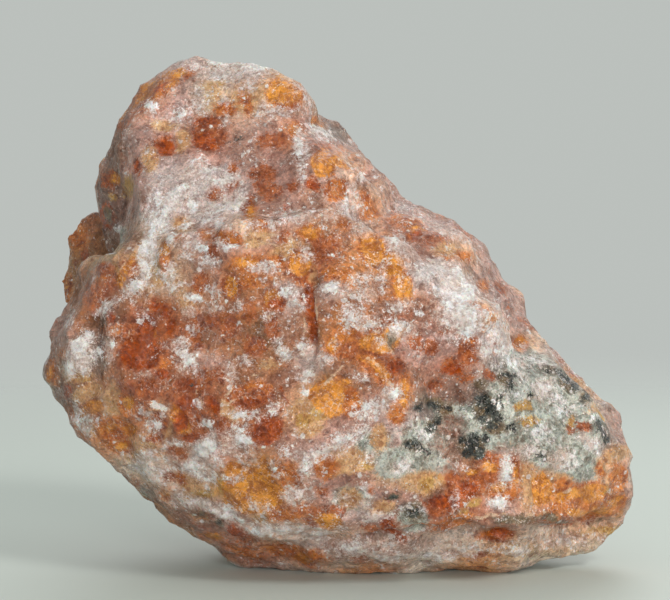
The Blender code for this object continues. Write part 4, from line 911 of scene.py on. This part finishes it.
def stone_material():
    nodes = Nodes("calcite")
    place = nodes.add("ShaderNodeTexCoord", output="Object")
    here = nodes.vector("SCALE", place, Scale=1 / MM)
    warp = nodes.add("ShaderNodeTexNoise", {}, {"Vector": here, "Scale": 0.9, "Detail": 3.0}, "Color")
    bent = nodes.vector("ADD", here, nodes.vector("SCALE", warp, Scale=0.5))
    mottle, mottle_too, ragged_soft = nodes.noise(here, 0.6, 5.0, 0.65)
    specks, specks_too, ragged_fine = nodes.noise(here, 3.0, 4.0, 0.7)
    crystals, facets, _ = nodes.grains(bent, 0.85)
    small_crystals, small_facets, _ = nodes.grains(bent, 2.6)
    tiny_crystals, tiny_facets, _ = nodes.grains(bent, 6.5)
    big_crumb_chances, big_crumbs = nodes.crumbs(bent, 1.7)
    crumb_chances, crumbs = nodes.crumbs(bent, 3.2)
    fine_crumb_chances, fine_crumbs = nodes.crumbs(bent, 6.0)
    joints = nodes.add("ShaderNodeTexVoronoi", {"feature": "DISTANCE_TO_EDGE"}, {"Vector": bent, "Scale": 0.85})
    small_joints = nodes.add("ShaderNodeTexVoronoi", {"feature": "DISTANCE_TO_EDGE"}, {"Vector": bent, "Scale": 2.6})
    grit, grit_too, _ = nodes.noise(here, 8.0, 3.0, 0.7)
    fans, _, lean = nodes.grains(bent, 0.4)
    across = nodes.add("ShaderNodeVectorMath", {"operation": "DOT_PRODUCT"}, {0: lean, 1: bent}, "Value")
    strands = nodes.add("ShaderNodeTexNoise", {"noise_dimensions": "1D"},
                        {"W": across * 11.0 + fans[0] * 60.0, "Detail": 4.0, "Roughness": 0.8}, "Fac")
    streaks = strands - 0.5
    tones = {"mottle": mottle * 2.0, "specks": specks * 1.4 + grit * 1.2, "streaks": streaks * 1.7,
             "crystals": crystals[0] * 0.4 + small_crystals[0] * 0.5 + tiny_crystals[0] * 0.4}
    ragged = (ragged_soft * 0.35 + ragged_fine * 0.65 + streaks * 0.25 + grit_too * 0.7
              + crystals[1] * 0.08 + small_crystals[1] * 0.16 + tiny_crystals[1] * 0.14)

    def share_of(mineral):
        """How light the mineral's tone is at each place."""
        share = 0.5
        for name, signal in tones.items():
            weight = getattr(mineral, name)
            if weight:
                share = signal * weight + share
        return nodes.step(share, 0.0, 1.0)

    def tone(mineral):
        return nodes.mix(share_of(mineral), linear(mineral.dark), linear(mineral.light))

    ground = nodes.add("ShaderNodeAttribute", {"attribute_name": "ground"}, output="Color")
    colour = nodes.vector("SCALE", ground, Scale=share_of(GROUND) * 0.6 + 0.72)
    rough = GROUND.rough
    covers = {}
    for name, mineral in MINERALS.items():
        if name == "pale":
            lace = (specks_too * 1.5 + mottle_too * 1.5 + grit * 1.2 + small_crystals[2] * 0.35
                    + crystals[2] * 0.2 + tiny_crystals[2] * 0.3)
            dust = nodes.step(covers["chalk"] * 0.2 + covers["cream"] * 0.12 + lace, 0.42, 0.62) * 0.8
            powder = (covers["cream"] * 0.5 + covers["chalk"] * 0.3 + mottle_too * 1.4 + ragged_soft * 1.0
                      - covers["amber"] * 1.0 - covers["deep"] * 1.0 - covers["rust"] * 0.2)
            for chance, away in ((big_crumb_chances, big_crumbs), (crumb_chances, crumbs),
                                 (fine_crumb_chances, fine_crumbs)):
                size = nodes.step(chance[0] + powder * 0.8, 0.5, 1.3) * 0.5
                rim = size - away + grit * 0.35 + specks * 0.15
                dust = nodes.add("ShaderNodeMath", {"operation": "MAXIMUM"},
                                 {0: dust, 1: nodes.step(rim, 0.0, 0.1, 0.0, 0.85)})
            # Pits: dark specks of painted shade, as tiny hollows would hold, none on amber; the skin is not sunk there
            for chance, away in ((big_crumb_chances, big_crumbs), (crumb_chances, crumbs)):
                rim = nodes.step(chance[1] - powder * 0.3, 0.4, 0.9) * 0.5 - away + grit_too * 0.3
                pit_shade = nodes.step(rim + specks * 0.3, 0.0, 0.15) * (1.0 - covers["amber"])
                colour = nodes.mix(pit_shade, colour, nodes.vector("MULTIPLY", colour, PIT_SHADE))
            colour = nodes.mix(dust, colour, tone(DUST))
            rough = nodes.blend(dust, rough, DUST.rough)
            joint = nodes.step(joints + specks * 0.12, 0.07, 0.0) * nodes.step(mottle + ragged_fine, 0.08, 0.22)
            small_joint = nodes.step(small_joints + specks * 0.08, 0.13, 0.0) * nodes.step(ragged_soft + grit, 0.0, 0.2)
            joint = nodes.add("ShaderNodeMath", {"operation": "MAXIMUM"}, {0: joint, 1: small_joint})
            colour = nodes.mix(joint * (0.5 - covers["deep"] * 0.35), colour, tone(DUST))
        field = nodes.add("ShaderNodeAttribute", {"attribute_name": name}, output="Fac")
        edge = ragged * mineral.ragged + field
        covers[name] = nodes.step(edge, -mineral.soft, mineral.soft)
        if mineral.veil < 1:
            covers[name] = covers[name] * nodes.step(ragged_fine + specks + grit, -0.2, 0.25, mineral.veil, 1.0)
        colour = nodes.mix(covers[name], colour, tone(mineral))
        rough = nodes.blend(covers[name], rough, mineral.rough)

    hue = small_crystals[2] * 0.08 + crystals[2] * 0.2 + mottle_too * 0.5 + streaks * 0.2
    gain = nodes.vector("MULTIPLY_ADD", hue, (0.55, 0.95, 1.2), (1.0, 1.0, 1.0))
    colour = nodes.vector("MULTIPLY", colour, gain)
    clear = covers["amber"] * (1.0 - covers["chalk"])
    bright = (tiny_crystals[2] * 0.25 + small_crystals[0] * 0.15 + grit_too * 0.6 + grit * 0.3 + specks * 0.3)
    bright = bright * (1.0 - clear * 0.3)
    colour = nodes.vector("SCALE", colour, Scale=bright + 0.94)
    height = facets * 0.4 + small_facets * 0.7 + tiny_facets * 0.8 + grit * 0.1 + streaks * 0.12
    height = height * (1.0 - clear * 0.55)
    bump = nodes.add("ShaderNodeBump", {}, {"Strength": 0.9, "Distance": MM, "Height": height})
    shader = nodes.add("ShaderNodeBsdfPrincipled", {}, {
        "Base Color": colour,
        "Roughness": small_crystals[1] * 0.35 + rough,
        "Normal": bump,
        "Subsurface Weight": 0.2,
        "Subsurface Radius": (1.0, 0.4, 0.2),
        "Subsurface Scale": 0.0012,
        "IOR": 1.6,
    })
    nodes.add("ShaderNodeOutputMaterial", {}, {"Surface": shader})
    return nodes.material


def add_stone():
    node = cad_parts["calcite"]
    stone = bpy.data.objects.new("stone", dressed_skin(node))
    stone.data.materials.clear()
    stone.data.materials.append(stone_material())
    bpy.context.scene.collection.objects.link(stone)
    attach(stone, "root")
    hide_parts("calcite")


# The studio
FLOOR_RADIUS = 0.4  # Metres, as are the other sizes of the studio
FLOOR_COLOUR = (192, 200, 194)
FLOOR_FADES = (0.05, 0.17)
ROOM_COLOUR = (205, 210, 206)
ROOM_LIGHT = 0.82


def floor_material():
    """A pale floor that fades into the room round the stone."""
    nodes = Nodes("floor")
    place = nodes.add("ShaderNodeTexCoord", output="Object")
    away = nodes.add("ShaderNodeVectorMath", {"operation": "LENGTH"}, {0: place}, "Value")
    shader = nodes.add("ShaderNodeBsdfPrincipled", {}, {
        "Base Color": linear(FLOOR_COLOUR),
        "Roughness": 0.6,
        "Alpha": nodes.step(away, *FLOOR_FADES, 1.0, 0.0),
    })
    nodes.add("ShaderNodeOutputMaterial", {}, {"Surface": shader})
    return nodes.material


def add_floor():
    bm = bmesh.new()
    bmesh.ops.create_circle(bm, cap_ends=True, segments=96, radius=FLOOR_RADIUS)
    mesh = bpy.data.meshes.new("floor")
    bm.to_mesh(mesh)
    bm.free()
    mesh.materials.append(floor_material())
    floor = bpy.data.objects.new("floor", mesh)
    bpy.context.scene.collection.objects.link(floor)


def add_light(name, place, size, power, tint):
    """A soft square light, which faces the stone."""
    light = bpy.data.lights.new(name, "AREA")
    light.size = size
    light.energy = power
    light.color = tint
    lamp = bpy.data.objects.new(name, light)
    lamp.location = place
    lamp.rotation_euler = (Vector(place) - Vector((0, 0, 0.02))).to_track_quat("Z", "Y").to_euler()
    bpy.context.scene.collection.objects.link(lamp)


def add_studio():
    add_floor()
    add_light("key", (0.22, -0.3, 0.32), 0.12, 0.9, (1.0, 0.98, 0.95))
    add_light("low", (0.1, -0.4, 0.065), 0.12, 1.0, (1.0, 0.99, 0.97))
    add_light("rear", (0.1, 0.5, 0.4), 0.4, 1.2, (1.0, 1.0, 1.0))
    world = bpy.data.worlds.new("room")
    world.use_nodes = True
    sky = world.node_tree.nodes["Background"]
    sky.inputs["Color"].default_value = linear(ROOM_COLOUR)
    sky.inputs["Strength"].default_value = ROOM_LIGHT
    bpy.context.scene.world = world
    bpy.context.scene.view_settings.view_transform = "Standard"


add_stone()
add_studio()
add_camera()
